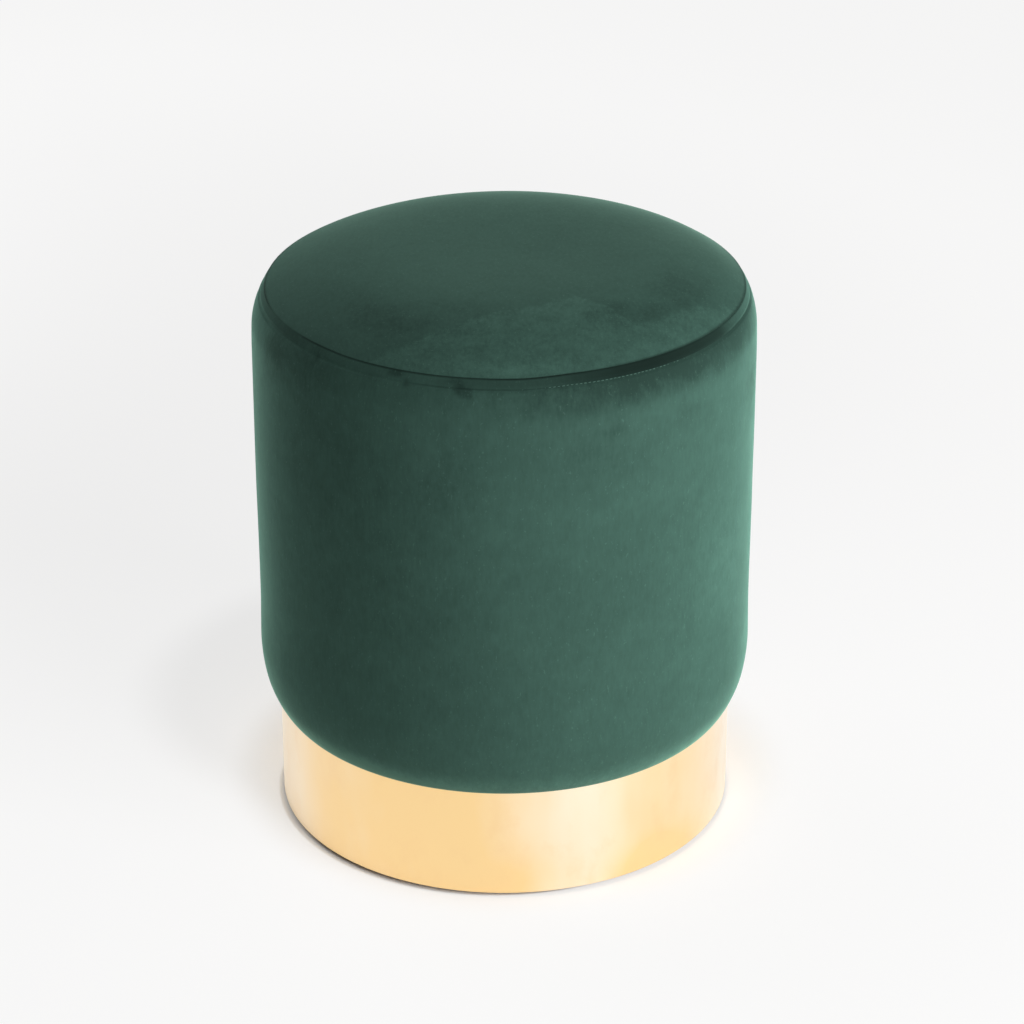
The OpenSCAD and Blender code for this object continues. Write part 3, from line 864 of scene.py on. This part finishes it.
def simulate_cover(skin):
    """Cloth under pressure on the stuffed body: returns a tree of its settled faces, for rays"""
    hand = settings("pouf_handwork")
    last_frame = 20
    shrink = 0.008
    bm = stuffed_body(skin)
    bmesh.ops.recalc_face_normals(bm, faces=bm.faces)
    body = add_object("settling", finished_mesh(bm, "settling"))
    remesh = body.modifiers.new("Even faces", "REMESH")
    remesh.mode = "VOXEL"
    remesh.voxel_size = hand.voxel
    body.data = settled_mesh(body)
    body.modifiers.remove(remesh)

    held = body.vertex_groups.new(name="held")
    slack = body.vertex_groups.new(name="slack")
    for vert in body.data.vertices:
        held.add([vert.index], held_share(skin, vert.co), "REPLACE")
        slack.add([vert.index], mottle(vert.co, 18), "REPLACE")

    cloth = body.modifiers.new("Velvet", "CLOTH")
    cloth.settings.quality = 5
    cloth.settings.mass = 0.2
    cloth.settings.tension_stiffness = 12
    cloth.settings.compression_stiffness = 8
    cloth.settings.shear_stiffness = 4
    cloth.settings.bending_stiffness = 1.5
    cloth.settings.vertex_group_mass = "held"
    cloth.settings.vertex_group_shrink = "slack"
    cloth.settings.shrink_min = -shrink
    cloth.settings.shrink_max = shrink
    cloth.settings.use_pressure = True
    cloth.settings.uniform_pressure_force = 4
    cloth.settings.effector_weights.gravity = 0
    cloth.collision_settings.use_collision = False
    cloth.point_cache.frame_start = 1
    cloth.point_cache.frame_end = last_frame
    scene = bpy.context.scene
    for moment in range(1, last_frame + 1):
        scene.frame_set(moment)
    settled = settled_mesh(body)
    scene.frame_set(1)

    felt = bmesh.new()
    felt.from_mesh(settled)
    for _ in range(4):
        bmesh.ops.smooth_vert(
            felt, verts=felt.verts, factor=0.5, use_axis_x=True, use_axis_y=True, use_axis_z=True
        )
    bmesh.ops.subdivide_edges(felt, edges=felt.edges, cuts=1, use_grid_fill=True, smooth=1.0)
    tree = BVHTree.FromBMesh(felt)
    felt.free()
    bpy.data.objects.remove(body)
    bpy.data.meshes.remove(settled)
    return tree


def lean_over(bm, skin):
    """Fills the side out, lifts the seam where it is sewn higher, and leans the top to the right"""
    hand = settings("pouf_handwork")
    foot_z, edge_z = skin.cover_z, skin.shoulder_z
    leaned_z = skin.seam_z + 0.6 * (SEAT_HIGH.z - skin.seam_z)
    for vert in bm.verts:
        height = vert.co.z
        foot = foot_of(vert)
        low = blend_over(height, foot_z, *FILLED_LOW_IN)
        low *= 1 - blend_over(height, foot_z, *FILLED_LOW_OUT)
        high = blend_over(height, foot_z, *FILLED_HIGH_IN)
        high *= 1 - blend_over(height, edge_z, *FILLED_HIGH_OUT)
        vert.co += foot.normalized() * hand.filled_out * (low + high)
        sewn = blend_between(height, edge_z, skin.stitch_z - skin.sizes.hem_past)
        sewn *= blend_over(foot.length, skin.seam_r, *SEAM_RAISED_IN)
        vert.co.z += read_off(SEAM_RAISED, math.atan2(foot.y, foot.x)) * MM * sewn
        vert.co.x += hand.seam_lean * blend_between(height, edge_z, skin.seam_z)
        vert.co.x += hand.crown_lean * blend_between(height, skin.seam_z, leaned_z)


def lay_over(bm, tree, skin, over_seat):
    """Gives a panel the simulated cloth's unevenness, ring by ring, and leaves its mean shape"""
    hand = settings("pouf_handwork")
    reach = 20 * MM
    foot_still = 12 * MM
    for (radius, height), ring in rings_of(bm).items():
        if over_seat:
            share = 1 - blend_over(radius, skin.seam_r, *SEAT_EVEN_IN)
        else:
            edge_middle = skin.shoulder_z + 0.5 * skin.sizes.shoulder_h
            share = blend_between(height, skin.cover_z + foot_still, skin.under_top_z)
            share *= 1 - blend_between(height, skin.shoulder_z, edge_middle)
        if share <= 0 or len(ring) < 3:
            continue
        felt = []
        for vert in ring:
            if over_seat:
                start, way, level = foot_of(vert), Vector((0, 0, 1)), SEAT_HIGH.z
            else:
                start, way, level = at(0, height), foot_of(vert).normalized(), skin.low_r
            hit = tree.ray_cast(start + way * (level + reach), -way)
            felt.append((way, 0.0 if hit[0] is None else -hit[3]))
        mean = sum(depth for _, depth in felt) / len(felt)
        for vert, (way, depth) in zip(ring, felt):
            vert.co += way * hand.swell * math.tanh((depth - mean) / hand.slack) * share


def mark(bm, name, value_at):
    """Stores a value at each vertex, for the velvet's finish"""
    layer = bm.verts.layers.float.new(name)
    for vert in bm.verts:
        place = vert.co
        vert[layer] = value_at(math.atan2(place.y, place.x), place.to_2d().length, place.z)


def pucker_list(skin):
    """The puckers at the topstitching, as FRONT_PUCKERS has them, and those round the back"""
    hand = settings("pouf_handwork")
    pick = random.Random(7)
    return [(math.radians(azimuth), *shape) for azimuth, *shape in FRONT_PUCKERS] + [
        (
            pick.uniform(0, math.pi),
            pick.uniform(2.0, 4.5) * MM,
            pick.uniform(4, 12) * MM,
            pick.uniform(0.35, 1) * hand.pucker_depth,
            pick.uniform(-1, 1),
        )
        for _ in range(hand.puckers)
    ]


def turn_between(first, second):
    """The angle from one azimuth to another, at most half a circle"""
    return abs((first - second + math.pi) % (2 * math.pi) - math.pi)


def stroke(strokes, azimuth, along):
    """How far strokes lay the pile over at a place, below 0 for deeper and above 0 for paler. The
    same sums also place painted shade on the side and the painted highlight's patches on the gold.
    """
    total = 0.0
    for where, place, half_turn, half_width, strength in strokes:
        across = turn_between(azimuth, math.radians(where)) / math.radians(half_turn)
        beside = (along - place * MM) / (half_width * MM)
        total += strength * math.exp(-across * across - beside * beside)
    return total


def from_back_seam(skin, azimuth, half_width):
    """1 at the back seam, and less the more half widths a place is away from it"""
    return math.exp(-((turn_between(azimuth, BACK) * skin.body_r / half_width) ** 2))


def pucker_depth(puckers, skin, azimuth, height):
    stitch_z = skin.stitch_z
    deepest = 0.0
    if abs(height - stitch_z) > PUCKER_FAR:
        return deepest
    for where, half_width, reach, depth, lean in puckers:
        where += lean * max(0.0, stitch_z - height) / skin.body_r
        across = turn_between(where, azimuth) * skin.body_r / half_width
        along = (height - stitch_z) / (reach if height < stitch_z else PUCKER_UP)
        if across < 3 and abs(along) < 3:
            deepest = max(deepest, depth * math.exp(-across * across - along * along))
    return deepest


def side_outline(skin):
    """Closed outline of the side panel: turned in below, up the side, folded back at the seam, and
    down again inside"""
    size = skin.sizes
    flange_r = skin.turn_r - size.roll_out - size.turn_in
    side_h = skin.shoulder_z - skin.under_top_z
    outline = [at(radius, skin.cover_z) for radius in steps(flange_r, skin.turn_r, 6)[:-1]]
    outline += [skin.under(turn) for turn in steps(0, BACK, 26)]
    outline += [
        at(skin.low_r - size.low_swell * share, skin.under_top_z + side_h * share)
        for share in steps(0, 1, 36)[1:-1]
    ]
    valley_w, inner_w = skin.valley_w, skin.valley_w * 0.85
    rises = steps(0, skin.stitch - valley_w, 8)
    rises += steps(skin.stitch - inner_w, skin.stitch + inner_w, 12)
    rises += steps(skin.stitch + valley_w, 1 - skin.fold, 5)
    outline += [skin.shoulder(rise, size.stitch_dip * skin.valley(rise)) for rise in rises]
    middle = skin.shoulder(1 - skin.fold, size.cover_t)
    out = skin.shoulder_out(1 - skin.fold)
    along = at(-out.z, out.x)
    outline += [
        middle + size.cover_t * (math.cos(turn) * out + math.sin(turn) * along)
        for turn in steps(math.radians(15), math.radians(165), 8)
    ]
    outline += [skin.shoulder(rise, 2 * size.cover_t) for rise in steps(1 - skin.fold, skin.hem, 5)]
    outline += [skin.shoulder(rise, size.cover_t) for rise in steps(skin.hem, 0, 4)]
    outline += [skin.under(turn, size.cover_t) for turn in steps(BACK, 0, 10)]
    outline.append(at(flange_r, skin.cover_z + size.cover_t))
    return outline


def arc(middle, radius, first, last, count):
    """Points of an arc in an upright outline, by angles from level outwards"""
    turns = steps(first, last, count)
    return [middle + at(radius * math.cos(turn), radius * math.sin(turn)) for turn in turns]


def slope_of(way):
    return math.atan2(way.z, way.x)


def radii_to(rim, count):
    """Radii from the middle to the rim, closer together towards the rim"""
    return [rim * (1 - (1 - share) ** 1.5) for share in steps(0, 1, count)]


def seat_outline(skin):
    """Outline of the seat panel: from the middle out, over the fold, tucked behind it, and back"""
    size = skin.sizes
    clear = size.cover_t + 0.1 * MM
    rim = skin.seam_r
    radii = radii_to(rim, 46)
    roll_middle = skin.crown(rim, size.tuck_r)
    first = slope_of(skin.crown(rim) - roll_middle)
    rolled = arc(roll_middle, size.tuck_r, first, size.tuck_turn, 4)
    fold_middle = skin.shoulder(1 - skin.fold, size.cover_t)
    first = slope_of(rolled[-1] - fold_middle)
    last = slope_of(skin.shoulder_out(1 - skin.fold)) + math.pi
    outline = [skin.crown(radius) for radius in radii] + rolled[1:]
    outline += arc(fold_middle, clear, first, last, 8)[1:]
    rises = steps(1 - skin.fold, skin.hem, 5)[1:]
    outline += [skin.shoulder(rise, size.cover_t + clear) for rise in rises]
    inside = 2 * size.cover_t + clear
    outline += [skin.shoulder(rise, inside) for rise in steps(skin.hem, 1 - 1.5 * skin.fold, 5)]
    outline.append(skin.crown(rim - size.cover_t, size.tuck_r + size.cover_t))
    outline += [skin.crown(radius, size.cover_t) for radius in reversed(radii[:-4:3])]
    return outline


class POUF_OT_seat_panel(bpy.types.Operator):
    """Makes the crowned velvet seat panel, settled by the cloth simulation"""

    bl_idname = "pouf.seat_panel"
    bl_label = "Seat Panel"

    def execute(self, context):
        skin = Skin()
        bm = turned(seat_outline(skin), columns=360, closed=False)
        lay_over(bm, simulated(skin), skin, over_seat=True)
        # Painted shade in the crease along the seam
        mark(bm, "pressed", lambda turn, _, height: self.pressed_at(turn, height, skin))
        mark(bm, "nap_and_painted_light", lambda turn, radius, _: stroke(SEAT_STROKES, turn, radius))
        mark(bm, "ruffled", self.ruffled_at)
        lean_over(bm, skin)
        finish = velvet(
            "Seat velvet", run=(1, 0.5, 1), grain=(0.15, 0.20, 0.34), stand=0.31, sheen=0.3, rim=0
        )
        seat = make_piece(bm, "velvet_seat_panel", finish, ["top_cover"])
        return {"FINISHED"}

    @staticmethod
    def pressed_at(azimuth, height, skin):
        """Painted shade in the crease where the panel meets the fold"""
        free = blend_over(height, skin.seam_z, -0.35, read_off(SEAM_SHADE_REACH, azimuth))
        return read_off(SEAM_SHADE_DEPTH, azimuth) * (1 - free)

    @staticmethod
    def ruffled_at(turn, radius, height):
        """From -1 on the smooth part of the seat to 1 on the ruffled part"""
        border = 10 * MM
        return max(-1.0, min(1.0, (radius - read_off(RUFFLED_FROM, turn) * MM) / border))


class POUF_OT_side_panel(bpy.types.Operator):
    """Makes the velvet side panel with its folded edge, stitched valley, puckers and back seam"""

    bl_idname = "pouf.side_panel"
    bl_label = "Side Panel"

    def execute(self, context):
        skin = Skin()
        bm = turned(side_outline(skin), columns=480, slit=skin.sizes.seam_slit / skin.body_r)
        lay_over(bm, simulated(skin), skin, over_seat=False)
        ends = close_ends(bm)
        soften(bm, list({edge for face in ends for edge in face.edges}), 0.35 * MM, 2)
        puckers = pucker_list(skin)
        for vert in bm.verts:
            azimuth = math.atan2(vert.co.y, vert.co.x)
            draw = SEAM_DRAW * from_back_seam(skin, azimuth, SEAM_DRAW_W)
            draw *= blend_between(vert.co.z, skin.cover_z + SEAM_DRAW_FROM, skin.under_top_z)
            draw += pucker_depth(puckers, skin, azimuth, vert.co.z)
            vert.co -= foot_of(vert).normalized() * draw
        # Painted shade in the creases, the valley, the puckers and at the foot
        mark(bm, "pressed", lambda turn, _, height: self.pressed_at(turn, height, skin, puckers))
        # Brush strokes with painted shade at the puckers, and painted light at the foot
        mark(bm, "nap_and_painted_light", lambda turn, _, height: self.nap_and_painted_light_at(turn, height, skin))
        mark(bm, "ruffled", lambda *place: -1.0)
        lean_over(bm, skin)
        # The strip above the topstitching gets a shaded copy of the velvet, with less sheen and
        # less painted sheen: partly its flatter pile, partly standing in for the shade there
        for face in bm.faces:
            face.material_index = int(face.calc_center_median().z > skin.stitch_z)
        pile = {"run": (1, 1, 0.3), "grain": (0.33, 0.34, 0.34), "stand": 0.5}
        finish = velvet("Side velvet", sheen=0.3, rim=3, **pile)
        side = make_piece(bm, "velvet_side_panel", finish, ["side_cover"], sharp=60)
        side.data.materials.append(velvet("Folded velvet shaded copy", sheen=0.14, rim=2, **pile))
        return {"FINISHED"}

    @staticmethod
    def under_at(azimuth, height, skin):
        """From 0 to 1 where the colour is made deeper, just below the topstitching"""
        if height > skin.stitch_z:
            return 0.0
        return read_off(DEEPER_UNDER, azimuth) * blend_over(height, skin.stitch_z, *DEEPER_IN)

    def nap_and_painted_light_at(self, azimuth, height, skin):
        """Painted light where the panel rolls in below, the brush strokes with the painted shade
        among them, and deeper colour just under the stitches
        """
        light_below = read_off(FOOT_PAINTED_LIGHT, azimuth)
        light_below *= 1 - blend_over(height, skin.cover_z, *FOOT_LIGHT_OUT)
        nap_and_painted_light = stroke(SIDE_STROKES_AND_SHADE, azimuth, height)
        return light_below + nap_and_painted_light - self.under_at(azimuth, height, skin)

    def pressed_at(self, azimuth, height, skin, puckers):
        """Darkens the colour: deeper just under the stitches, and painted shade on the strip above
        them, in their valley, on the fold by the seam, where the panel rolls in, in the crease of
        the back seam and in the puckers, each to its share"""
        rise = skin.rise_at(height)
        strip = blend_between(rise, skin.stitch - 0.02, skin.stitch + 0.02)
        valley = skin.valley(rise) ** 4 if rise < 1 else 0.0
        fold = blend_over(height, skin.seam_z, *FOLD_SHADE_IN)
        rolled = 1 - blend_over(height, skin.cover_z, *ROLL_SHADE_OUT)
        deepest = max(
            0.3 * self.under_at(azimuth, height, skin),
            read_off(STRIP_SHADE, azimuth) * strip,
            0.75 * read_off(VALLEY_SHADE, azimuth) * valley,
            read_off(SEAM_SHADE_DEPTH, azimuth) * fold,
            0.25 * rolled,
            0.8 * from_back_seam(skin, azimuth, 2 * MM),
            pucker_depth(puckers, skin, azimuth, height) / (0.8 * MM),
        )
        return min(1.0, deepest)


_settled = {}


def simulated(skin):
    """The settled cloth, simulated once for both panels"""
    if "tree" not in _settled:
        _settled["tree"] = simulate_cover(skin)
    return _settled["tree"]


class POUF_OT_topstitching(bpy.types.Operator):
    """Sews the row of single stitches through the folded edge, below the seam"""

    bl_idname = "pouf.topstitching"
    bl_label = "Topstitching"

    def execute(self, context):
        skin = Skin()
        hand = settings("pouf_handwork")
        pick = random.Random(3)
        proud = 0.3 * hand.thread_d
        crooked = math.radians(3)
        row = skin.shoulder(skin.stitch, skin.sizes.stitch_dip - proud)
        count = round(2 * math.pi * row.x / hand.stitch_l)
        puckers = pucker_list(skin)
        stitch = self.one_stitch(hand)
        bm = bmesh.new()
        for stitched in range(count):
            azimuth = 2 * math.pi * (stitched + 0.5) / count - math.pi
            drawn = pucker_depth(puckers, skin, azimuth, row.z)
            drawn += hand.stitch_sink * read_off(STITCHES_SUNK, azimuth)
            radius = row.x - drawn - pick.uniform(0, hand.uneven_thread)
            place = (
                Matrix.Rotation(azimuth, 4, "Z")
                @ Matrix.Translation((radius, 0, row.z))
                @ Matrix.Rotation(pick.gauss(0, crooked), 4, "X")
            )
            made = len(bm.verts)
            bm.from_mesh(stitch)
            bm.verts.ensure_lookup_table()
            bmesh.ops.transform(bm, matrix=place, verts=bm.verts[made:])
        bpy.data.meshes.remove(stitch)
        lean_over(bm, skin)
        make_piece(bm, "topstitching", thread_finish())
        return {"FINISHED"}

    @staticmethod
    def one_stitch(hand):
        """A stitch that lies along Y, with both ends dipping into the velvet"""
        radius, half_l = hand.thread_d / 2, 0.37 * hand.stitch_l
        shape = Matrix.Diagonal((radius, half_l, radius, 1))
        bm = bmesh.new()
        bmesh.ops.create_uvsphere(bm, u_segments=8, v_segments=6, radius=1, matrix=shape)
        return finished_mesh(bm, "stitch")


class POUF_OT_gold_band(bpy.types.Operator):
    """Bends the gold sheet steel round the plinth, with rounded edges and slight waves"""

    bl_idname = "pouf.gold_band"
    bl_label = "Gold Band"

    def execute(self, context):
        size = settings("pouf_plinth")
        low, high, outer = BAND_LOW.z, BAND_HIGH.z, BAND_HIGH.x
        inner = outer - SHEET_T
        corners = [at(outer, low), at(outer, high), at(inner, high), at(inner, low)]
        bm = turned(corners, columns=512, slit=size.slit / outer)
        close_ends(bm)
        soften(bm, [edge for edge in bm.edges if self.runs_round(edge)], size.edge_round, 2)
        beside_edge = 0.6 * MM
        for height in [low + beside_edge, high - beside_edge, *steps(low, high, 10)[1:-1]]:
            bmesh.ops.bisect_plane(
                bm, geom=whole(bm), plane_co=(0, 0, height), plane_no=(0, 0, 1)
            )
        for vert in bm.verts:
            uneven = noise.noise(vert.co * Vector((16, 16, 7))) - 0.2
            vert.co += foot_of(vert).normalized() * size.wave * uneven
        # The painted highlight that lightens the gold round the band
        mark(bm, "painted_highlight", self.painted_highlight_at)
        make_piece(bm, "gold_band", gold_steel(), ["plinth_band"], sharp=50)
        return {"FINISHED"}

    @staticmethod
    def runs_round(edge):
        """Whether an edge is part of a level ring"""
        first, second = (vert.co for vert in edge.verts)
        wider = first.to_2d().length - second.to_2d().length
        return abs(first.z - second.z) < NEAR and abs(wider) < NEAR

    # Painted highlight round the band, from its tables
    @staticmethod
    def painted_highlight_at(azimuth, radius, height):
        return read_off(PAINTED_HIGHLIGHT, azimuth) + stroke(PAINTED_HIGHLIGHT_PATCHES, azimuth, height)


class POUF_OT_stuffing(bpy.types.Operator):
    """Makes the wadding, the seat foam and the side foam, cut by hand and a little uneven"""

    bl_idname = "pouf.stuffing"
    bl_label = "Stuffing"

    def execute(self, context):
        skin = Skin()
        foam = foam_finish()
        under = skin.sizes.cover_t + LAYER_GAP
        radii = radii_to(skin.seam_r - 4 * skin.sizes.cover_t, 20)
        wadding = [skin.crown(radius, under) for radius in radii]
        wadding += [
            skin.crown(radius, under + self.wadding_at(radius, skin)) for radius in reversed(radii)
        ]
        finish = wadding_finish()
        self.stuff(wadding, "seat_wadding_pad", "seat_wadding", "wadding", finish, 0.35 * MM)

        radii = radii_to(skin.seam_r - 1.5 * MM, 20)
        behind = 3 * skin.sizes.cover_t + 0.4 * MM
        hem = skin.hem - 0.03
        board_z = SEAT_BOARD_HIGH.z
        seat = [
            skin.crown(radius, under + self.wadding_at(radius, skin) + LAYER_GAP)
            for radius in radii
        ]
        seat += [skin.shoulder(rise, behind) for rise in steps(0.84, hem, 3)]
        seat += [skin.shoulder(rise, under) for rise in steps(hem, 0, 5)]
        seat += [at(skin.body_r - under, board_z), at(0, board_z)]
        self.stuff(seat, "seat_foam_block", "seat_foam", "foam", foam, 0.12 * MM)

        inner = SHELL_HIGH.x + LAYER_GAP
        top_z = FOAM_HIGH.z
        side = [skin.under(turn, under) for turn in steps(math.radians(12), BACK, 10)]
        side += [at(skin.body_r - under, top_z), at(inner, top_z), at(inner, side[0].z)]
        self.stuff(side, "side_foam_wrap", "side_foam", "foam", foam, 0.12 * MM, closed=True)
        return {"FINISHED"}

    @staticmethod
    def wadding_at(radius, skin):
        """The wadding's thickness, which halves towards the seam"""
        return WADDING_T * (1 - 0.5 * (radius / skin.seam_r) ** 6)

    @staticmethod
    def stuff(outline, name, node, slot, material, uneven, closed=False):
        """Makes a pad from its outline, with its wall cut unevenly and drawn in at the back seam"""
        wall_r, back_y, back_w = 0.1, SIDE_HIGH.y - 6 * MM, 12 * MM
        bm = turned(outline, columns=160, closed=closed)
        for vert in bm.verts:
            depth = uneven * mottle(vert.co, 60)
            if vert.co.y > back_y and abs(vert.co.x) < back_w:
                depth += SEAM_DRAW
            way = foot_of(vert)
            if way.length > wall_r:
                vert.co -= way.normalized() * depth
        piece = make_piece(bm, name, material, [node], sharp=45)


class POUF_OT_dust_cover(bpy.types.Operator):
    """Makes the black cloth below the plinth, which sags and is pulled up at each staple"""

    bl_idname = "pouf.dust_cover"
    bl_label = "Dust Cover"

    def execute(self, context):
        size = settings("pouf_plinth")
        outer = DUST_HIGH.x
        free_r = RING_HIGH.x - RING_W
        pleat = 0.12 * MM
        radii = steps(0, free_r, 14)[:-1] + steps(free_r, outer, 12)
        bm = turned([at(radius, DUST_LOW.z) for radius in radii], columns=144, closed=False)
        for vert in bm.verts:
            radius = math.hypot(vert.co.x, vert.co.y)
            free = max(0.0, 1 - (radius / free_r) ** 2)
            pleated = pleat * noise.noise(vert.co * 28)
            azimuth = math.atan2(vert.co.y, vert.co.x)
            pulls = 0.5 + 0.5 * math.cos(DUST_STAPLES * azimuth)
            vert.co.z -= size.sag * free - pleated * free
            vert.co.z -= size.pull * blend_between(radius, free_r, outer) * (1 - pulls)
        bmesh.ops.recalc_face_normals(bm, faces=bm.faces)
        if max(bm.faces, key=lambda face: face.calc_area()).normal.z > 0:
            bmesh.ops.reverse_faces(bm, faces=bm.faces)
        bmesh.ops.solidify(bm, geom=list(bm.faces), thickness=DUST_HIGH.z - DUST_LOW.z)
        finish = dust_cloth_finish()
        cover = make_piece(bm, "dust_cover_cloth", finish, ["dust_cover"], sharp=50)
        return {"FINISHED"}


class POUF_OT_woodwork(bpy.types.Operator):
    """Gives the boards, posts, blocks and hoops their woods"""

    bl_idname = "pouf.woodwork"
    bl_label = "Woodwork"

    def execute(self, context):
        colours = settings("pouf_colours")
        dress_nodes(ply_finish("Plywood", colours.plywood, layer_t=3 * MM), "plywood")
        dress_nodes(wood_finish("Beech", colours.beech, grain=(1, 1, 0.08)), "beech")
        dress_nodes(pressed_board("Fibreboard", colours.fibreboard, fleck=700), "fibreboard")
        dress_nodes(pressed_board("Hardboard", colours.hardboard, fleck=400), "hardboard")
        return {"FINISHED"}


class POUF_OT_fasteners(bpy.types.Operator):
    """Gives screws, bolts, nuts, washers, nails and staples their zinc, and the glides plastic"""

    bl_idname = "pouf.fasteners"
    bl_label = "Fasteners and Glides"

    def execute(self, context):
        dress_nodes(zinc_steel(), "zinc_steel")
        dress_nodes(plastic_finish(), "black_plastic")
        return {"FINISHED"}


class POUF_OT_stage(bpy.types.Operator):
    """Sets the camera, the floor, the world and the soft lamps"""

    bl_idname = "pouf.stage"
    bl_label = "Stage"

    def execute(self, context):
        self.camera()
        self.floor()
        self.world()
        stage = settings("pouf_stage")
        self.lamp("Front right softbox", -45, 20, stage.front_right)
        self.lamp("Right softbox", -15, 22, stage.right)
        self.lamp("Back left softbox", 140, 30, stage.back_left)
        return {"FINISHED"}

    @staticmethod
    def camera():
        stage = settings("pouf_stage")
        lens = bpy.data.cameras.new("Camera")
        lens.sensor_width = 36
        lens.lens = stage.lens
        eye = add_object("Camera", lens)
        eye.location = (0, -stage.camera_back, stage.camera_up)
        eye.rotation_euler = (math.pi / 2 - stage.camera_pitch, 0, -stage.camera_yaw)
        bpy.context.scene.camera = eye

    @staticmethod
    def floor():
        """Pale floor: part lit by the lamps, so that it keeps the shadow, and part plain colour.
        The plain part is cut back in places, which paints the shadow deeper there.
        """
        stage = settings("pouf_stage")
        bm = bmesh.new()
        bmesh.ops.create_circle(bm, cap_ends=True, radius=9, segments=96)
        floor = add_object("floor", finished_mesh(bm, "floor"))
        material = bpy.data.materials.new("Floor")
        material.use_nodes = True
        floor.data.materials.append(material)
        material.node_tree.nodes.clear()
        nodes = Nodes(material.node_tree)
        lit = nodes.node("ShaderNodeBsdfDiffuse", {"Color": stage.floor}).outputs[0]
        plain = nodes.node("ShaderNodeEmission", {"Color": stage.floor}).outputs[0]
        place = nodes.node("ShaderNodeTexCoord").outputs["Object"]
        share = nodes.math("MULTIPLY", nodes.seen_directly(), stage.floor_plain)
        rim = BAND_HIGH.x
        # Painted shadow: the plain share is cut near the plinth and towards the back left
        for start, end, inside, outside, x, y in FLOOR_PAINTED_SHADOWS:
            points = {0: place, 1: (x * MM, y * MM, 0)}
            away = nodes.node("ShaderNodeVectorMath", points, operation="DISTANCE").outputs["Value"]
            edges = (rim + start * MM, rim + end * MM, inside, outside)
            shade = nodes.spread(away, *edges, interpolation_type="SMOOTHSTEP")
            share = nodes.math("MULTIPLY", share, shade)
        both = nodes.node("ShaderNodeMixShader", {0: share, 1: lit, 2: plain}).outputs[0]
        nodes.node("ShaderNodeOutputMaterial", {"Surface": both})

    @staticmethod
    def world():
        stage = settings("pouf_stage")
        world = bpy.data.worlds.new("Studio")
        world.use_nodes = True
        bpy.context.scene.world = world
        nodes = Nodes(world.node_tree)
        level = nodes.spread(nodes.seen_directly(), 0, 1, stage.world, 1.0)
        nodes.fill(world.node_tree.nodes["Background"], {"Color": stage.floor, "Strength": level})

    @staticmethod
    def lamp(name, azimuth, rise, power):
        """A square softbox that points at the middle of the pouf"""
        stage = settings("pouf_stage")
        light = bpy.data.lights.new(name, "AREA")
        light.size = stage.softbox
        light.energy = power
        lamp = add_object(name, light)
        turn = Matrix.Rotation(math.radians(azimuth), 3, "Z")
        turn = turn @ Matrix.Rotation(-math.radians(rise), 3, "Y")
        away = turn @ Vector((stage.lamp_distance, 0, 0))
        lamp.location = away + Vector((0, 0, SEAT_HIGH.z / 2))
        lamp.rotation_euler = away.to_track_quat("Z", "Y").to_euler()


GROUPS = {
    "pouf_skin": PoufSkinSizes,
    "pouf_handwork": PoufHandwork,
    "pouf_colours": PoufColours,
    "pouf_plinth": PoufPlinthSizes,
    "pouf_stage": PoufStage,
}

OPERATORS = [
    POUF_OT_stage,
    POUF_OT_side_panel,
    POUF_OT_seat_panel,
    POUF_OT_topstitching,
    POUF_OT_gold_band,
    POUF_OT_stuffing,
    POUF_OT_dust_cover,
    POUF_OT_woodwork,
    POUF_OT_fasteners,
]


class POUF_PT_sidebar(bpy.types.Panel):
    """Lists the pouf's sizes, colours and operators"""

    bl_idname = "POUF_PT_sidebar"
    bl_label = "Round Velvet Pouf"
    bl_space_type = "VIEW_3D"
    bl_region_type = "UI"
    bl_category = "Pouf"

    def draw(self, context):
        for operator in OPERATORS:
            self.layout.operator(operator.bl_idname)
        for name, group in GROUPS.items():
            box = self.layout.box()
            for size in group.__annotations__:
                box.prop(getattr(context.scene, name), size)


def register():
    for group in GROUPS.values():
        bpy.utils.register_class(group)
    for name, group in GROUPS.items():
        setattr(bpy.types.Scene, name, PointerProperty(type=group))
    for operator in OPERATORS:
        bpy.utils.register_class(operator)
    bpy.utils.register_class(POUF_PT_sidebar)


def unregister():
    bpy.utils.unregister_class(POUF_PT_sidebar)
    for operator in reversed(OPERATORS):
        bpy.utils.unregister_class(operator)
    for name in GROUPS:
        delattr(bpy.types.Scene, name)
    for group in reversed(GROUPS.values()):
        bpy.utils.unregister_class(group)


def main():
    register()
    bpy.context.scene.view_settings.view_transform = "Standard"
    bpy.ops.pouf.stage()
    bpy.ops.pouf.side_panel()
    bpy.ops.pouf.seat_panel()
    bpy.ops.pouf.topstitching()
    bpy.ops.pouf.gold_band()
    bpy.ops.pouf.stuffing()
    bpy.ops.pouf.dust_cover()
    bpy.ops.pouf.woodwork()
    bpy.ops.pouf.fasteners()


if __name__ == "__main__":
    main()
